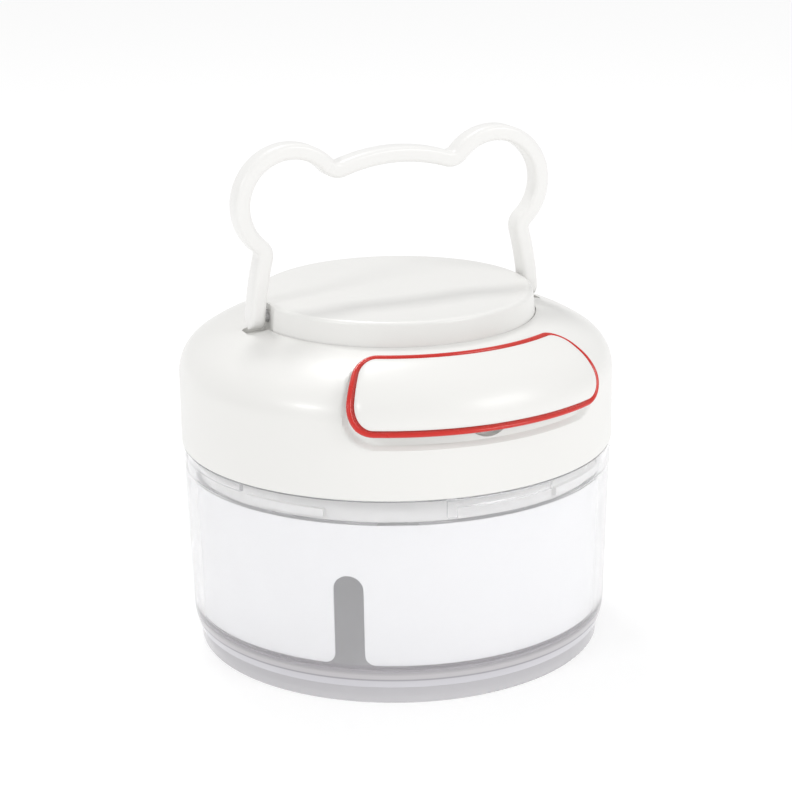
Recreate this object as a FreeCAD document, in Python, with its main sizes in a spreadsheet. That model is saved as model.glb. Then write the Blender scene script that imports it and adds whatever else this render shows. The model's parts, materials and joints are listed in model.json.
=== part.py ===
import FreeCAD, Part
import math
import os
from types import SimpleNamespace

import Sketcher
from FreeCAD import Placement, Rotation, Vector

# A hand-pulled food chopper: a clear bowl with a blade shaft, and a domed lid that holds
# a cord reel. Pulling the grip turns the reel, the clutch rotor, the drive hub and the blades.
# Origin: centre of the base's underside. +Z up, the grip faces -Y, the bail turns about X.

# Driving dimensions, in millimetres and degrees. A bearing is measured from -Y towards +X.
SIZES = {
    # clearances
    "gap": 0.3, "snug": 0.1, "slip": 0.05, "merge": 0.1,
    # non-slip base
    "base_radius": 43.1, "base_height": 3.5, "base_floor": 1.3, "base_corner": 0.6, "base_lip": 1.8,
    "foot_inner": 39.2, "foot_outer": 41.2, "foot_bottom": 1.4,
    # bowl
    "bowl_underside": 3.8, "bowl_floor": 6.4, "bowl_corner": 12.0,
    "bowl_foot_radius": 43.7, "bowl_low_radius": 44.6, "bowl_low_height": 8.2,
    "bowl_neck_radius": 45.45, "bowl_neck_height": 39.0, "collar_low_radius": 45.5,
    "collar_step": 0.3, "collar_radius": 45.6, "collar_bore": 43.3, "rim_height": 43.8,
    "bore_low_radius": 42.55, "bore_low_height": 8.2, "bore_high_radius": 43.25, "floor_round": 1.8,
    "boss_radius": 3.0, "boss_top": 8.4, "pin_foot": 5.0, "pin_radius": 1.48, "pin_top": 16.0,
    # bayonet
    "ledge_inner": 42.35, "ledge_low": 41.5, "ledge_high": 43.0, "ledge_bearing": -85.25,
    "ledge_sweep": 31.5, "stop_low": 39.4, "stop_bearing": -99.65, "stop_sweep": 2.7,
    "lug_outer": 43.0, "lug_low": 39.6, "lug_high": 41.2, "lug_bearing": -55.5, "lug_sweep": 24.0,
    # liner with its sight slot
    "liner_wall": 0.45, "liner_low": 8.3, "liner_high": 38.0,
    "slot_bearing": -37.2, "slot_half": 3.05, "slot_top": 27.5, "slot_flare": 2.2,
    # blade shaft and blades
    "shaft_bore": 1.55, "shaft_low": 8.65, "shaft_flange": 6.0, "flange_top": 10.0,
    "shaft_foot_radius": 4.6, "shaft_radius": 4.4, "shaft_top": 38.5, "shaft_collar": 6.5,
    "collar_top": 41.0, "bore_top": 16.5, "dog_core": 2.4, "dog_reach": 4.2, "dog_top": 47.5,
    "dog_half": 1.0, "blade_thickness": 0.8, "blade_low": 11.4, "blade_rise": 9.3, "blade_pitch": 25.0,
    "blade_tip": 38.3, "blade_bearing": -34.0, "blade_step": 120.0,
    "root_half": 3.0, "heel_reach": 6.5, "heel_drop": 4.4, "tip_rise": 4.6, "tip_width": 0.7,
    "back_reach": 8.0, "back_rise": 4.2, "edge_bow": 45.0, "back_bow": 60.0,
    # seal
    "seal_inner": 42.3, "seal_outer": 45.0, "seal_low": 43.85, "seal_high": 45.25, "seal_bevel": 0.4,
    # cover plate
    "plate_low": 45.3, "plate_high": 47.3, "plate_radius": 43.5, "skirt_outer": 42.0,
    "skirt_inner": 40.4, "skirt_low": 38.6, "hub_collar": 10.2, "hub_collar_top": 50.3,
    "bush_outer": 8.0, "bush_inner": 6.06, "bush_low": 44.6,
    "screw_circle": 35.0, "plate_hole": 1.7, "head_recess": 2.8, "recess_depth": 1.2,
    "plate_screw_length": 12.6, "cap_screw_head": 2.4, "cap_screw_head_height": 1.3,
    "cap_screw_length": 5.5,
    # dome
    "dome_radius": 45.8, "dome_foot": 44.1, "dome_top": 71.0, "dome_wall": 2.2,
    "shoulder_reach": 20.9, "shoulder_drop": 12.1, "shoulder_round": 8.2, "rim_lip": 0.5,
    "axle_boss": 5.5, "axle_boss_low": 60.0, "axle_radius": 2.5, "axle_hole_top": 67.5,
    "screw_boss": 3.3, "screw_boss_top": 67.4, "pilot_radius": 1.25, "pilot_depth": 12.0,
    "seat_inner": 27.85, "seat_outer": 29.7, "seat_low": 70.1,
    "pocket_inner": 28.3, "pocket_outer": 33.6, "pocket_half": 2.75, "pocket_floor": 68.9,
    # cord outlet
    "cord_height": 60.8, "cord_radius": 1.0, "turn_bulge": 1.02, "outlet_boss": 6.2, "outlet_back": 37.05,
    "outlet_recess": 5.2, "recess_floor": 43.0, "outlet_front": 48.0,
    "eyelet_neck": 3.35, "eyelet_flange": 4.7, "eyelet_back": 35.5, "eyelet_throat": 1.4,
    "eyelet_flare": 1.0,
    "lead_corner": 33.5, "lead_bend": 6.0, "lead_end": 44.4, "lead_trim": 10.5, "tail_start": 44.45,
    # grip and the nest that it sits in
    "grip_half_angle": 35.9, "grip_low": 57.7, "grip_top_angle": 69.5, "grip_corner": 5.6,
    "nest_foot_margin": 3.2, "nest_side_margin": 1.3, "nest_depth": 1.1,
    "grip_back_gap": -0.6, "grip_rim_gap": 2.4, "face_seat_gap": 1.3, "face_front_gap": 3.1,
    "face_side_inset": 1.6, "face_low_inset": 1.3, "face_top_inset": 1.3, "radian": 57.29578,
    "knot_radius": 2.1, "knot_bulge": 1.47, "knot_start": 46.0, "knot_length": 1.7,
    "grip_screw_bearing": 21.0, "grip_screw_height": 62.0, "grip_screw_seat": 45.5,
    "grip_screw_head": 1.9, "grip_screw_head_height": 0.8, "grip_screw_shank": 0.8,
    "grip_screw_length": 2.5, "grip_pilot_depth": 1.9,
    # cap
    "cap_low": 70.2, "cap_radius": 29.55, "cap_upper_radius": 29.1, "cap_top": 75.6,
    "cap_edge": 0.85, "cap_bore": 27.9, "cap_roof": 73.7, "cap_floor": 71.05,
    "cap_screw_reach": 22.0, "cap_boss": 3.0, "block_inner": 22.0, "block_half": 5.0,
    "notch_reach": 28.6, "notch_half": 4.4,
    # bail and its pins
    "pivot_height": 72.8, "bail_pin": 1.3, "pin_inner": 23.0, "pin_outer": 32.0,
    "bail_width": 3.3, "bail_depth": 4.8, "bail_edge": 0.95, "leg_reach": 31.3,
    "leg_centre_height": 67.4, "leg_bow": 70.0, "ear_reach": 23.0, "ear_height": 95.75,
    "ear_radius": 10.8, "waist_radius": 2.5, "valley_radius": 3.0, "bar_apex": 103.95, "bar_bow": 37.0,
    # axle, clip and reel
    "axle_low": 52.0, "axle_high": 67.4, "clip_low": 55.0, "clip_high": 55.8, "groove_radius": 2.1,
    "clip_outer": 4.4, "clip_mouth": 1.6,
    "reel_bore": 2.55, "reel_low": 56.0, "reel_hub": 4.2, "web_low": 57.6, "web_high": 59.6,
    "ring_inner": 14.0, "ring_outer": 16.6, "ring_low": 51.2, "flange_low": 56.4,
    "reel_flange": 24.5, "winding_low": 57.6, "winding_high": 64.0, "drum_radius": 19.0,
    "upper_flange": 65.2, "reel_high": 66.2, "cup_radius": 17.6,
    "tooth_radius": 12.4, "tooth_high": 55.4, "tooth_root": 14.6, "tooth_bearing": 7.0,
    "tooth_sweep": 25.0, "cover_inner": 6.6, "cover_outer": 18.9, "cover_high": 67.0,
    "winding_radius": 20.0, "cord_pitch": 2.0,
    # clock spring
    "spring_inner": 5.75, "spring_outer": 17.0, "spring_turns": 7.0, "spring_strip": 0.35,
    "spring_low": 60.2, "spring_high": 66.0,
    # drive hub and clutch rotor
    "socket_low": 41.2, "socket_bore": 4.5, "hub_radius": 6.0, "socket_top": 49.4,
    "hub_flange": 9.5, "hub_flange_low": 50.4, "hub_flange_top": 51.35, "hub_top": 54.6,
    "hub_bore": 2.56, "hub_bore_low": 51.6, "rib_reach": 2.9, "rib_half": 1.0, "rib_low": 41.4,
    "rotor_bore": 4.55, "rotor_radius": 7.0, "rotor_low": 51.4, "rotor_high": 54.0,
    "arm_root": -110.0, "arm_inner_root": 5.8, "arm_inner_bearing": -80.0, "pawl_bearing": -1.0,
    "pawl_outer": 13.6, "pawl_inner": 12.2, "arm_outer_bow": 10.41, "arm_inner_bow": 7.67,
}

doc = FreeCAD.newDocument("PullCordChopper")
sheet = doc.addObject("Spreadsheet::Sheet", "Sizes")
for row, (alias, number) in enumerate(SIZES.items(), start=1):
    sheet.set(f"A{row}", alias)
    sheet.set(f"B{row}", str(number))
    sheet.setAlias(f"B{row}", alias)
doc.recompute()


class Size:
    """A number together with the sheet formula that it is worked out by."""

    def __init__(self, value, formula):
        self.value = float(value)
        self.formula = formula

    def __add__(self, other):
        other = as_size(other)
        return Size(self.value + other.value, f"({self.formula} + {other.formula})")

    def __sub__(self, other):
        other = as_size(other)
        return Size(self.value - other.value, f"({self.formula} - {other.formula})")

    def __mul__(self, other):
        other = as_size(other)
        return Size(self.value * other.value, f"({self.formula} * {other.formula})")

    def __truediv__(self, other):
        other = as_size(other)
        return Size(self.value / other.value, f"({self.formula} / {other.formula})")

    def __neg__(self):
        return Size(-self.value, f"(0 - {self.formula})")

    def __radd__(self, other):
        return as_size(other) + self

    def __rsub__(self, other):
        return as_size(other) - self

    def __rmul__(self, other):
        return as_size(other) * self


def as_size(number):
    return number if isinstance(number, Size) else Size(number, f"{float(number):.6g}")


def at_bearing(radius, degrees):
    """The point of the XY plane at a radius and an angle from +X."""
    radius = as_size(radius)
    degrees = as_size(degrees)
    angle = math.radians(degrees.value)
    across = Size(radius.value * math.cos(angle), f"({radius.formula} * cos({degrees.formula}))")
    along = Size(radius.value * math.sin(angle), f"({radius.formula} * sin({degrees.formula}))")
    return across, along


s = SimpleNamespace(**{alias: Size(number, f"Sizes.{alias}") for alias, number in SIZES.items()})
kept = []


# ---------------------------------------------------------------- sketches and features

def origin_part(body, role):
    return next(part for part in body.Origin.OriginFeatures if part.Role == role)


def new_body(name):
    body = doc.addObject("PartDesign::Body", name)
    body.Label = name
    return body


def add_sketch(body, name, plane, height=0, turn=None):
    """A sketch on one of the body's planes, raised along its normal or turned about +Z."""
    sketch = body.newObject("Sketcher::SketchObject", name)
    sketch.AttachmentSupport = [(origin_part(body, plane), "")]
    sketch.MapMode = "FlatFace"
    height = as_size(height)
    if turn is None:
        sketch.AttachmentOffset = Placement(Vector(0, 0, height.value), Rotation())
        sketch.setExpression("AttachmentOffset.Base.z", height.formula)
    else:
        turn = as_size(turn)
        up = Vector(0, 0, 1) if plane == "XY_Plane" else Vector(0, 1, 0)
        sketch.AttachmentOffset = Placement(Vector(), Rotation(up, turn.value))
        sketch.setExpression("AttachmentOffset.Rotation.Angle", turn.formula)
    return sketch


def tie(sketch, constraint, size):
    index = sketch.addConstraint(constraint)
    sketch.setExpression(f"Constraints[{index}]", size.formula)


def tie_point(sketch, geometry, end, across, along):
    """Holds a sketch point at its distances from the sketch's two axes."""
    origin, axis_across, axis_along = -1, -1, -2
    if abs(across.value) < 1e-9:
        sketch.addConstraint(Sketcher.Constraint("PointOnObject", geometry, end, axis_along))
    else:
        tie(sketch, Sketcher.Constraint("DistanceX", origin, 1, geometry, end, across.value), across)
    if abs(along.value) < 1e-9:
        sketch.addConstraint(Sketcher.Constraint("PointOnObject", geometry, end, axis_across))
    else:
        tie(sketch, Sketcher.Constraint("DistanceY", origin, 1, geometry, end, along.value), along)


def arc_between(start, end, radius):
    """The arc from start to end; it turns left where the radius is above zero, else right."""
    chord = end - start
    half = chord.Length / 2
    rise = math.sqrt(max(radius * radius - half * half, 0.0))
    left = Vector(-chord.y, chord.x, 0).normalize()
    centre = (start + end) / 2 + left * math.copysign(rise, radius)
    first, last = (start, end) if radius > 0 else (end, start)
    angles = [math.atan2(point.y - centre.y, point.x - centre.x) for point in (first, last)]
    circle = Part.Circle(centre, Vector(0, 0, 1), abs(radius))
    return Part.ArcOfCircle(circle, angles[0], angles[1])


def draw(sketch, corners):
    """Draws a closed outline. A corner is (x, y), or (x, y, radius) where an arc leads to it."""
    corners = [[as_size(number) for number in corner] for corner in corners]
    places = [Vector(corner[0].value, corner[1].value, 0) for corner in corners]
    pieces = []
    for here, corner in enumerate(corners):
        there = (here + 1) % len(corners)
        if len(corners[there]) == 2:
            edge = sketch.addGeometry(Part.LineSegment(places[here], places[there]))
            pieces.append((edge, 1, 2))
            continue
        radius = corners[there][2]
        edge = sketch.addGeometry(arc_between(places[here], places[there], radius.value))
        pieces.append((edge, 1, 2) if radius.value > 0 else (edge, 2, 1))
        size = radius if radius.value > 0 else -radius
        tie(sketch, Sketcher.Constraint("Radius", edge, size.value), size)
    for here, (edge, start, end) in enumerate(pieces):
        following, first, _ = pieces[(here + 1) % len(pieces)]
        sketch.addConstraint(Sketcher.Constraint("Coincident", edge, end, following, first))
        tie_point(sketch, edge, start, corners[here][0], corners[here][1])


def draw_circle(sketch, across, along, radius):
    across, along, radius = as_size(across), as_size(along), as_size(radius)
    centre = Vector(across.value, along.value, 0)
    edge = sketch.addGeometry(Part.Circle(centre, Vector(0, 0, 1), radius.value))
    tie(sketch, Sketcher.Constraint("Radius", edge, radius.value), radius)
    tie_point(sketch, edge, 3, across, along)


def box(low_across, low_along, high_across, high_along):
    """The corners of an upright rectangle."""
    return [(low_across, low_along), (high_across, low_along),
            (high_across, high_along), (low_across, high_along)]


def soft_box(half, low, high, low_round, high_round):
    """The corners of a rectangle, even about the vertical axis, with rounded corners."""
    return [
        (low_round - half, low, low_round),
        (half - low_round, low),
        (half, low + low_round, low_round),
        (half, high - high_round),
        (half - high_round, high, high_round),
        (high_round - half, high),
        (-half, high - high_round, high_round),
        (-half, low + low_round),
    ]


def add_turn(body, name, corners, middle=None, sweep=360.0):
    """Turns an outline of radii and heights about +Z, right round or evenly about a bearing."""
    turn = None if middle is None else middle - 90
    sketch = add_sketch(body, name + "_outline", "XZ_Plane", turn=turn)
    draw(sketch, corners)
    feature = body.newObject("PartDesign::Revolution", name)
    feature.Profile = sketch
    feature.ReferenceAxis = (sketch, ["V_Axis"])
    feature.Midplane = middle is not None
    sweep = as_size(sweep)
    feature.Angle = sweep.value
    feature.setExpression("Angle", sweep.formula)
    return feature


def add_prism(body, name, plane, shapes, start, length, cut=False, turn=None):
    """Pads or cuts outlines along the plane's normal, from a start height, over a length."""
    sketch = add_sketch(body, name + "_outline", plane, start, turn)
    for shape in shapes:
        if isinstance(shape, list):
            draw(sketch, shape)
        else:
            draw_circle(sketch, *shape)
    feature = body.newObject("PartDesign::Pocket" if cut else "PartDesign::Pad", name)
    feature.Profile = sketch
    length = as_size(length)
    feature.Length = length.value
    feature.setExpression("Length", length.formula)
    feature.Reversed = cut
    return feature


def repeat(body, name, features, count):
    pattern = body.newObject("PartDesign::PolarPattern", name)
    pattern.Originals = features
    pattern.Axis = (origin_part(body, "Z_Axis"), [""])
    pattern.Angle = 360
    pattern.Occurrences = count
    body.Tip = pattern
    return pattern


def turned(name, corners):
    body = new_body(name)
    add_turn(body, name + "_turn", corners)
    return body


def combine(kind, name, base, tool):
    """A boolean of two objects."""
    result = doc.addObject(kind, name)
    result.Base = base
    result.Tool = tool
    return result


def keep(name, piece):
    piece.Label = name
    kept.append((name, piece))
    return piece


def facing(bearing, height=0, reach=0):
    """A placement whose own +Z points outwards, level, along a bearing."""
    angle = math.radians(as_size(bearing).value)
    outward = Vector(math.sin(angle), -math.cos(angle), 0)
    place = outward * as_size(reach).value + Vector(0, 0, as_size(height).value)
    return Placement(place, Rotation(Vector(0, 0, 1), outward))


def screw_corners(head_radius, head_height, shank_radius, length):
    """A flat-headed screw that stands on its head at z = 0."""
    return [(0, 0), (head_radius, 0), (head_radius, head_height), (shank_radius, head_height),
            (shank_radius, length - shank_radius), (0, length)]


def screws(name, places, head_radius, head_height, shank_radius, length):
    """Equal screws in one node, each a solid with a cross slot in its head."""
    bodies = []
    for number, place in enumerate(places, start=1):
        label = f"{name}_{number}"
        body = turned(label, screw_corners(head_radius, head_height, shank_radius, length))
        reach = head_radius * 0.6
        half = head_radius * 0.13
        depth = head_height * 0.5
        for side, bar in (("a", box(-reach, -half, reach, half)), ("b", box(-half, -reach, half, reach))):
            add_prism(body, f"{label}_slot_{side}", "XY_Plane", [bar], 0, depth, cut=True)
        body.Placement = place
        bodies.append(body)
    group = doc.addObject("Part::Compound", name)
    group.Links = bodies
    return keep(name, group)


# ---------------------------------------------------------------- bowl side

def make_base():
    groove_outer = s.foot_outer + s.snug
    groove_inner = s.foot_inner - s.snug
    lip = groove_inner - s.base_lip
    return keep("non_slip_base", turned("base_body", [
        (0, 0),
        (s.base_radius - s.base_corner, 0),
        (s.base_radius, s.base_corner, s.base_corner),
        (s.base_radius, s.base_height),
        (groove_outer, s.base_height),
        (groove_outer, s.base_floor),
        (groove_inner, s.base_floor),
        (groove_inner, s.base_height),
        (lip, s.base_height),
        (lip, s.base_floor),
        (0, s.base_floor),
    ]))


def make_bowl():
    body = turned("bowl_body", [
        (0, s.bowl_underside),
        (s.foot_inner, s.bowl_underside),
        (s.foot_inner, s.foot_bottom),
        (s.foot_outer, s.foot_bottom),
        (s.foot_outer, s.bowl_underside),
        (s.bowl_foot_radius, s.bowl_underside),
        (s.bowl_low_radius, s.bowl_low_height, s.bowl_corner),
        (s.bowl_neck_radius, s.bowl_neck_height),
        (s.collar_low_radius, s.bowl_neck_height + s.collar_step),
        (s.collar_radius, s.rim_height),
        (s.collar_bore, s.rim_height),
        (s.collar_bore, s.bowl_neck_height + s.collar_step),
        (s.bore_high_radius, s.bowl_neck_height),
        (s.bore_low_radius, s.bore_low_height),
        (s.bore_low_radius - s.floor_round, s.bowl_floor, -s.floor_round),
        (s.boss_radius, s.bowl_floor),
        (s.boss_radius, s.boss_top),
        (s.pin_radius, s.boss_top),
        (s.pin_radius, s.pin_foot),
        (0, s.pin_foot),
    ])
    into_wall = s.collar_bore + s.merge
    ledge = box(s.ledge_inner, s.ledge_low, into_wall, s.ledge_high)
    stop = box(s.ledge_inner, s.stop_low, into_wall, s.ledge_low + s.merge)
    features = [
        add_turn(body, "ledge", ledge, s.ledge_bearing, s.ledge_sweep),
        add_turn(body, "stop_rib", stop, s.stop_bearing, s.stop_sweep),
    ]
    repeat(body, "bayonet", features, 4)
    return keep("bowl", body)


def make_liner():
    """A thin white sleeve along the bowl's inner wall, with a tall slot to see through."""
    outer_low = s.bore_low_radius - s.snug
    outer_high = s.bore_high_radius - s.snug
    body = turned("liner_body", [
        (outer_low - s.liner_wall, s.liner_low),
        (outer_low, s.liner_low),
        (outer_high, s.liner_high),
        (outer_high - s.liner_wall, s.liner_high),
    ])
    below = s.liner_low - s.gap
    wide = s.slot_half + s.slot_flare
    straight_low = s.liner_low + s.slot_flare
    straight_high = s.slot_top - s.slot_half
    slot = [
        (-wide, below),
        (wide, below),
        (wide, s.liner_low),
        (s.slot_half, straight_low, -s.slot_flare),
        (s.slot_half, straight_high),
        (0, s.slot_top, s.slot_half),
        (-s.slot_half, straight_high, s.slot_half),
        (-s.slot_half, straight_low),
        (-wide, s.liner_low, -s.slot_flare),
    ]
    add_prism(body, "sight_slot", "XZ_Plane", [slot], 0, s.bowl_neck_radius, cut=True, turn=s.slot_bearing)
    return keep("bowl_liner", body)


def make_pin():
    tip = s.pin_radius * 0.5
    return keep("centre_pin", turned("pin_body", [
        (0, s.pin_foot + s.slip),
        (s.pin_radius, s.pin_foot + s.slip),
        (s.pin_radius, s.pin_top - tip),
        (s.pin_radius - tip, s.pin_top, tip),
        (0, s.pin_top),
    ]))


# ---------------------------------------------------------------- blades

def blade_corners():
    """A sickle: the lower edge cuts and bows outwards, the back bows the same way."""
    tip = s.blade_tip
    return [
        (s.dog_core, -s.root_half),
        (s.heel_reach, -s.heel_drop),
        (tip, s.tip_rise, s.edge_bow),
        (tip - s.tip_width * 0.5, s.tip_rise + s.tip_width),
        (s.back_reach, s.back_rise, -s.back_bow),
        (s.dog_core, s.root_half),
    ]


def make_blades():
    names = ["blade_lower", "blade_middle", "blade_upper"]
    blades = []
    for level, name in enumerate(names):
        body = new_body(name + "_body")
        half = s.blade_thickness * 0.5
        add_prism(body, name + "_pad", "XY_Plane", [blade_corners()], -half, s.blade_thickness)
        bearing = s.blade_bearing.value + (level - 1) * s.blade_step.value
        pitch = Rotation(Vector(1, 0, 0), s.blade_pitch.value)
        height = s.blade_low + s.blade_rise * level
        turn = Rotation(Vector(0, 0, 1), bearing - 90)
        body.Placement = Placement(Vector(0, 0, height.value), turn.multiply(pitch))
        body.setExpression("Placement.Base.z", height.formula)
        blades.append(keep(name, body))
    return blades


def make_shaft(blades):
    """The moulded shaft, with the blades' roots cast into it and a two-finned dog on top."""
    body = turned("shaft_turn", [
        (s.shaft_bore, s.shaft_low),
        (s.shaft_flange, s.shaft_low),
        (s.shaft_flange, s.flange_top),
        (s.shaft_foot_radius, s.flange_top),
        (s.shaft_radius, s.shaft_top),
        (s.shaft_collar, s.shaft_top),
        (s.shaft_collar, s.collar_top),
        (s.dog_core, s.collar_top),
        (s.dog_core, s.dog_top),
        (0, s.dog_top),
        (0, s.bore_top),
        (s.shaft_bore, s.bore_top),
    ])
    fins = box(-s.dog_half, -s.dog_reach, s.dog_half, s.dog_reach)
    height = s.dog_top - s.collar_top - s.gap
    add_prism(body, "dog_fins", "XY_Plane", [fins], s.collar_top, height)
    roots = doc.addObject("Part::Compound", "blade_roots")
    roots.Links = blades
    return keep("blade_shaft", combine("Part::Cut", "shaft_with_slots", body, roots))


# ---------------------------------------------------------------- lid: shells

def dome_arcs():
    """The two arcs of the dome's shoulder: centre radius, centre height and arc radius of each."""
    reach = s.shoulder_reach
    drop = s.shoulder_drop
    bow = (reach * reach + drop * drop - 2 * reach * s.shoulder_round) / (2 * (drop - s.shoulder_round))
    shoulder = (s.dome_radius - s.shoulder_round, s.dome_top - drop, s.shoulder_round)
    crown = (s.dome_radius - reach, s.dome_top - bow, bow)
    return shoulder, crown


def dome_from_foot(gap, low=None, top_angle=90):
    """The dome's outside moved outwards by gap, going up: its side, its shoulder and its crown.

    It starts at the height low, or at the shoulder's foot, and ends at an angle of the crown arc.
    """
    shoulder, crown = dome_arcs()
    share = (shoulder[2] + gap) / (crown[2] - shoulder[2])
    points = []
    if low is None or low.value < shoulder[1].value:
        points.append((s.dome_radius + gap, shoulder[1]))
        if low is not None:
            points.insert(0, (s.dome_radius + gap, low))
    else:
        rise = (low - shoulder[1]) / (shoulder[2] + s.grip_rim_gap) * s.radian
        across, along = at_bearing(shoulder[2] + gap, rise)
        points.append((shoulder[0] + across, shoulder[1] + along))
    meet_radius = shoulder[0] + share * (shoulder[0] - crown[0])
    meet_height = shoulder[1] + share * (shoulder[1] - crown[1])
    points.append((meet_radius, meet_height, shoulder[2] + gap))
    across, along = at_bearing(crown[2] + gap, top_angle)
    points.append((crown[0] + across, crown[1] + along, crown[2] + gap))
    return points


def reverse_way(points):
    """The same stretch of outline the other way round."""
    bends = [point[2:] for point in points[1:]] + [()]
    return [(*point[:2], *[-bend for bend in bends[place]]) for place, point in enumerate(points)][::-1]


def dome_slab(name, low_gap, high_gap, grow, corner):
    """A slab with rounded corners along the dome's front; grow widens its sides, foot and top."""
    body = new_body(name)
    side, foot, top = grow
    half_angle = s.grip_half_angle + side / (s.dome_radius + s.grip_rim_gap) * s.radian
    top_angle = s.grip_top_angle + top / dome_arcs()[1][2] * s.radian
    low = s.grip_low - foot
    outline = reverse_way(dome_from_foot(low_gap, low, top_angle))
    outline += dome_from_foot(high_gap, low, top_angle)
    block = add_turn(body, name + "_block", outline, as_size(0), half_angle * 2)
    doc.recompute()
    straight = [(f"Edge{number}", edge) for number, edge in enumerate(block.Shape.Edges, start=1)
                if edge.Curve.TypeId == "Part::GeomLine"]
    corners = [name for name, edge in straight if abs(edge.tangentAt(edge.FirstParameter).z) < 0.99]
    rounded = body.newObject("PartDesign::Fillet", name + "_corners")
    rounded.Base = (block, corners)
    rounded.Radius = corner.value
    rounded.setExpression("Radius", corner.formula)
    return body


def make_dome():
    body = turned("dome_turn", [
        (0, s.axle_hole_top),
        (s.axle_radius, s.axle_hole_top),
        (s.axle_radius, s.axle_boss_low),
        (s.axle_boss, s.axle_boss_low),
        (s.axle_boss, s.dome_top - s.dome_wall),
        *reverse_way(dome_from_foot(-s.dome_wall)),
        (s.dome_radius - s.dome_wall, s.plate_low),
        (s.dome_radius - s.rim_lip, s.plate_low),
        (s.dome_radius - s.rim_lip, s.dome_foot),
        (s.dome_radius, s.dome_foot),
        *dome_from_foot(0),
        (0, s.dome_top),
    ])
    spot = at_bearing(s.screw_circle, 45)
    boss = [(*spot, s.screw_boss)]
    pilot = [(*spot, s.pilot_radius)]
    boss_length = s.screw_boss_top - s.plate_high
    add_prism(body, "screw_boss_pad", "XY_Plane", boss, s.plate_high, boss_length)
    repeat(body, "screw_bosses", [doc.getObject("screw_boss_pad")], 4)
    add_prism(body, "pilot_hole", "XY_Plane", pilot, s.plate_high, s.pilot_depth, cut=True)
    repeat(body, "pilot_holes", [doc.getObject("pilot_hole")], 4)
    seat = [(0, 0, s.seat_outer), (0, 0, s.seat_inner)]
    above = s.cap_top - s.seat_low
    add_prism(body, "cap_seat", "XY_Plane", seat, s.seat_low, above, cut=True)
    pockets = [
        box(s.pocket_inner, -s.pocket_half, s.pocket_outer, s.pocket_half),
        box(-s.pocket_outer, -s.pocket_half, -s.pocket_inner, s.pocket_half),
    ]
    add_prism(body, "leg_pockets", "XY_Plane", pockets, s.pocket_floor, above, cut=True)
    screw_holes = [(0, s.cap_screw_reach, s.cap_boss * 0.5), (0, -s.cap_screw_reach, s.cap_boss * 0.5)]
    through = s.dome_wall * 2
    add_prism(body, "cap_screw_holes", "XY_Plane", screw_holes, s.dome_top - through, through, cut=True)
    boss_run = s.recess_floor - s.outlet_back
    outlet = [(0, s.cord_height, s.outlet_boss)]
    add_prism(body, "outlet_boss", "XZ_Plane", outlet, s.outlet_back, boss_run)
    through_wall = s.outlet_front - s.outlet_back
    bore = [(0, s.cord_height, s.eyelet_neck)]
    add_prism(body, "outlet_bore", "XZ_Plane", bore, s.outlet_back, through_wall, cut=True)
    recess = [(0, s.cord_height, s.outlet_recess)]
    depth = s.outlet_front - s.recess_floor
    add_prism(body, "outlet_recess", "XZ_Plane", recess, s.recess_floor, depth, cut=True)
    margins = [s.nest_side_margin, s.nest_foot_margin, s.nest_side_margin]
    corner = s.grip_corner + s.nest_side_margin
    nest = dome_slab("nest", -s.nest_depth, s.face_front_gap, margins, corner)
    return keep("dome_shell", combine("Part::Cut", "dome_with_nest", body, nest))


def make_cap():
    upper_edge = s.cap_upper_radius - s.cap_edge
    body = turned("cap_body", [
        (s.cap_bore, s.cap_low),
        (s.cap_radius, s.cap_low),
        (s.cap_upper_radius, s.cap_top - s.cap_edge),
        (upper_edge, s.cap_top, s.cap_edge),
        (0, s.cap_top),
        (0, s.cap_roof),
        (s.cap_bore - s.gap, s.cap_roof),
    ])
    height = s.cap_roof - s.cap_floor + s.merge
    blocks = [
        box(s.block_inner, -s.block_half, s.cap_bore + s.merge, s.block_half),
        box(-s.cap_bore - s.merge, -s.block_half, -s.block_inner, s.block_half),
    ]
    add_prism(body, "pin_blocks", "XY_Plane", blocks, s.cap_floor, height)
    bosses = [(0, s.cap_screw_reach, s.cap_boss), (0, -s.cap_screw_reach, s.cap_boss)]
    add_prism(body, "cap_bosses", "XY_Plane", bosses, s.cap_floor, height)
    pilots = [(0, s.cap_screw_reach, s.pilot_radius), (0, -s.cap_screw_reach, s.pilot_radius)]
    add_prism(body, "cap_pilots", "XY_Plane", pilots, s.cap_floor, height - s.gap, cut=True)
    hole = [(0, s.pivot_height, s.bail_pin)]
    run = s.cap_radius - s.pin_inner
    add_prism(body, "pin_hole", "YZ_Plane", hole, s.pin_inner, run, cut=True)
    repeat(body, "pin_holes", [doc.getObject("pin_hole")], 2)
    beyond = s.cap_radius + s.gap
    notches = [
        box(s.notch_reach, -s.notch_half, beyond, s.notch_half),
        box(-beyond, -s.notch_half, -s.notch_reach, s.notch_half),
    ]
    add_prism(body, "leg_notches", "XY_Plane", notches, s.cap_low, s.cap_top - s.cap_low, cut=True)
    return keep("top_cap", body)


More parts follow.
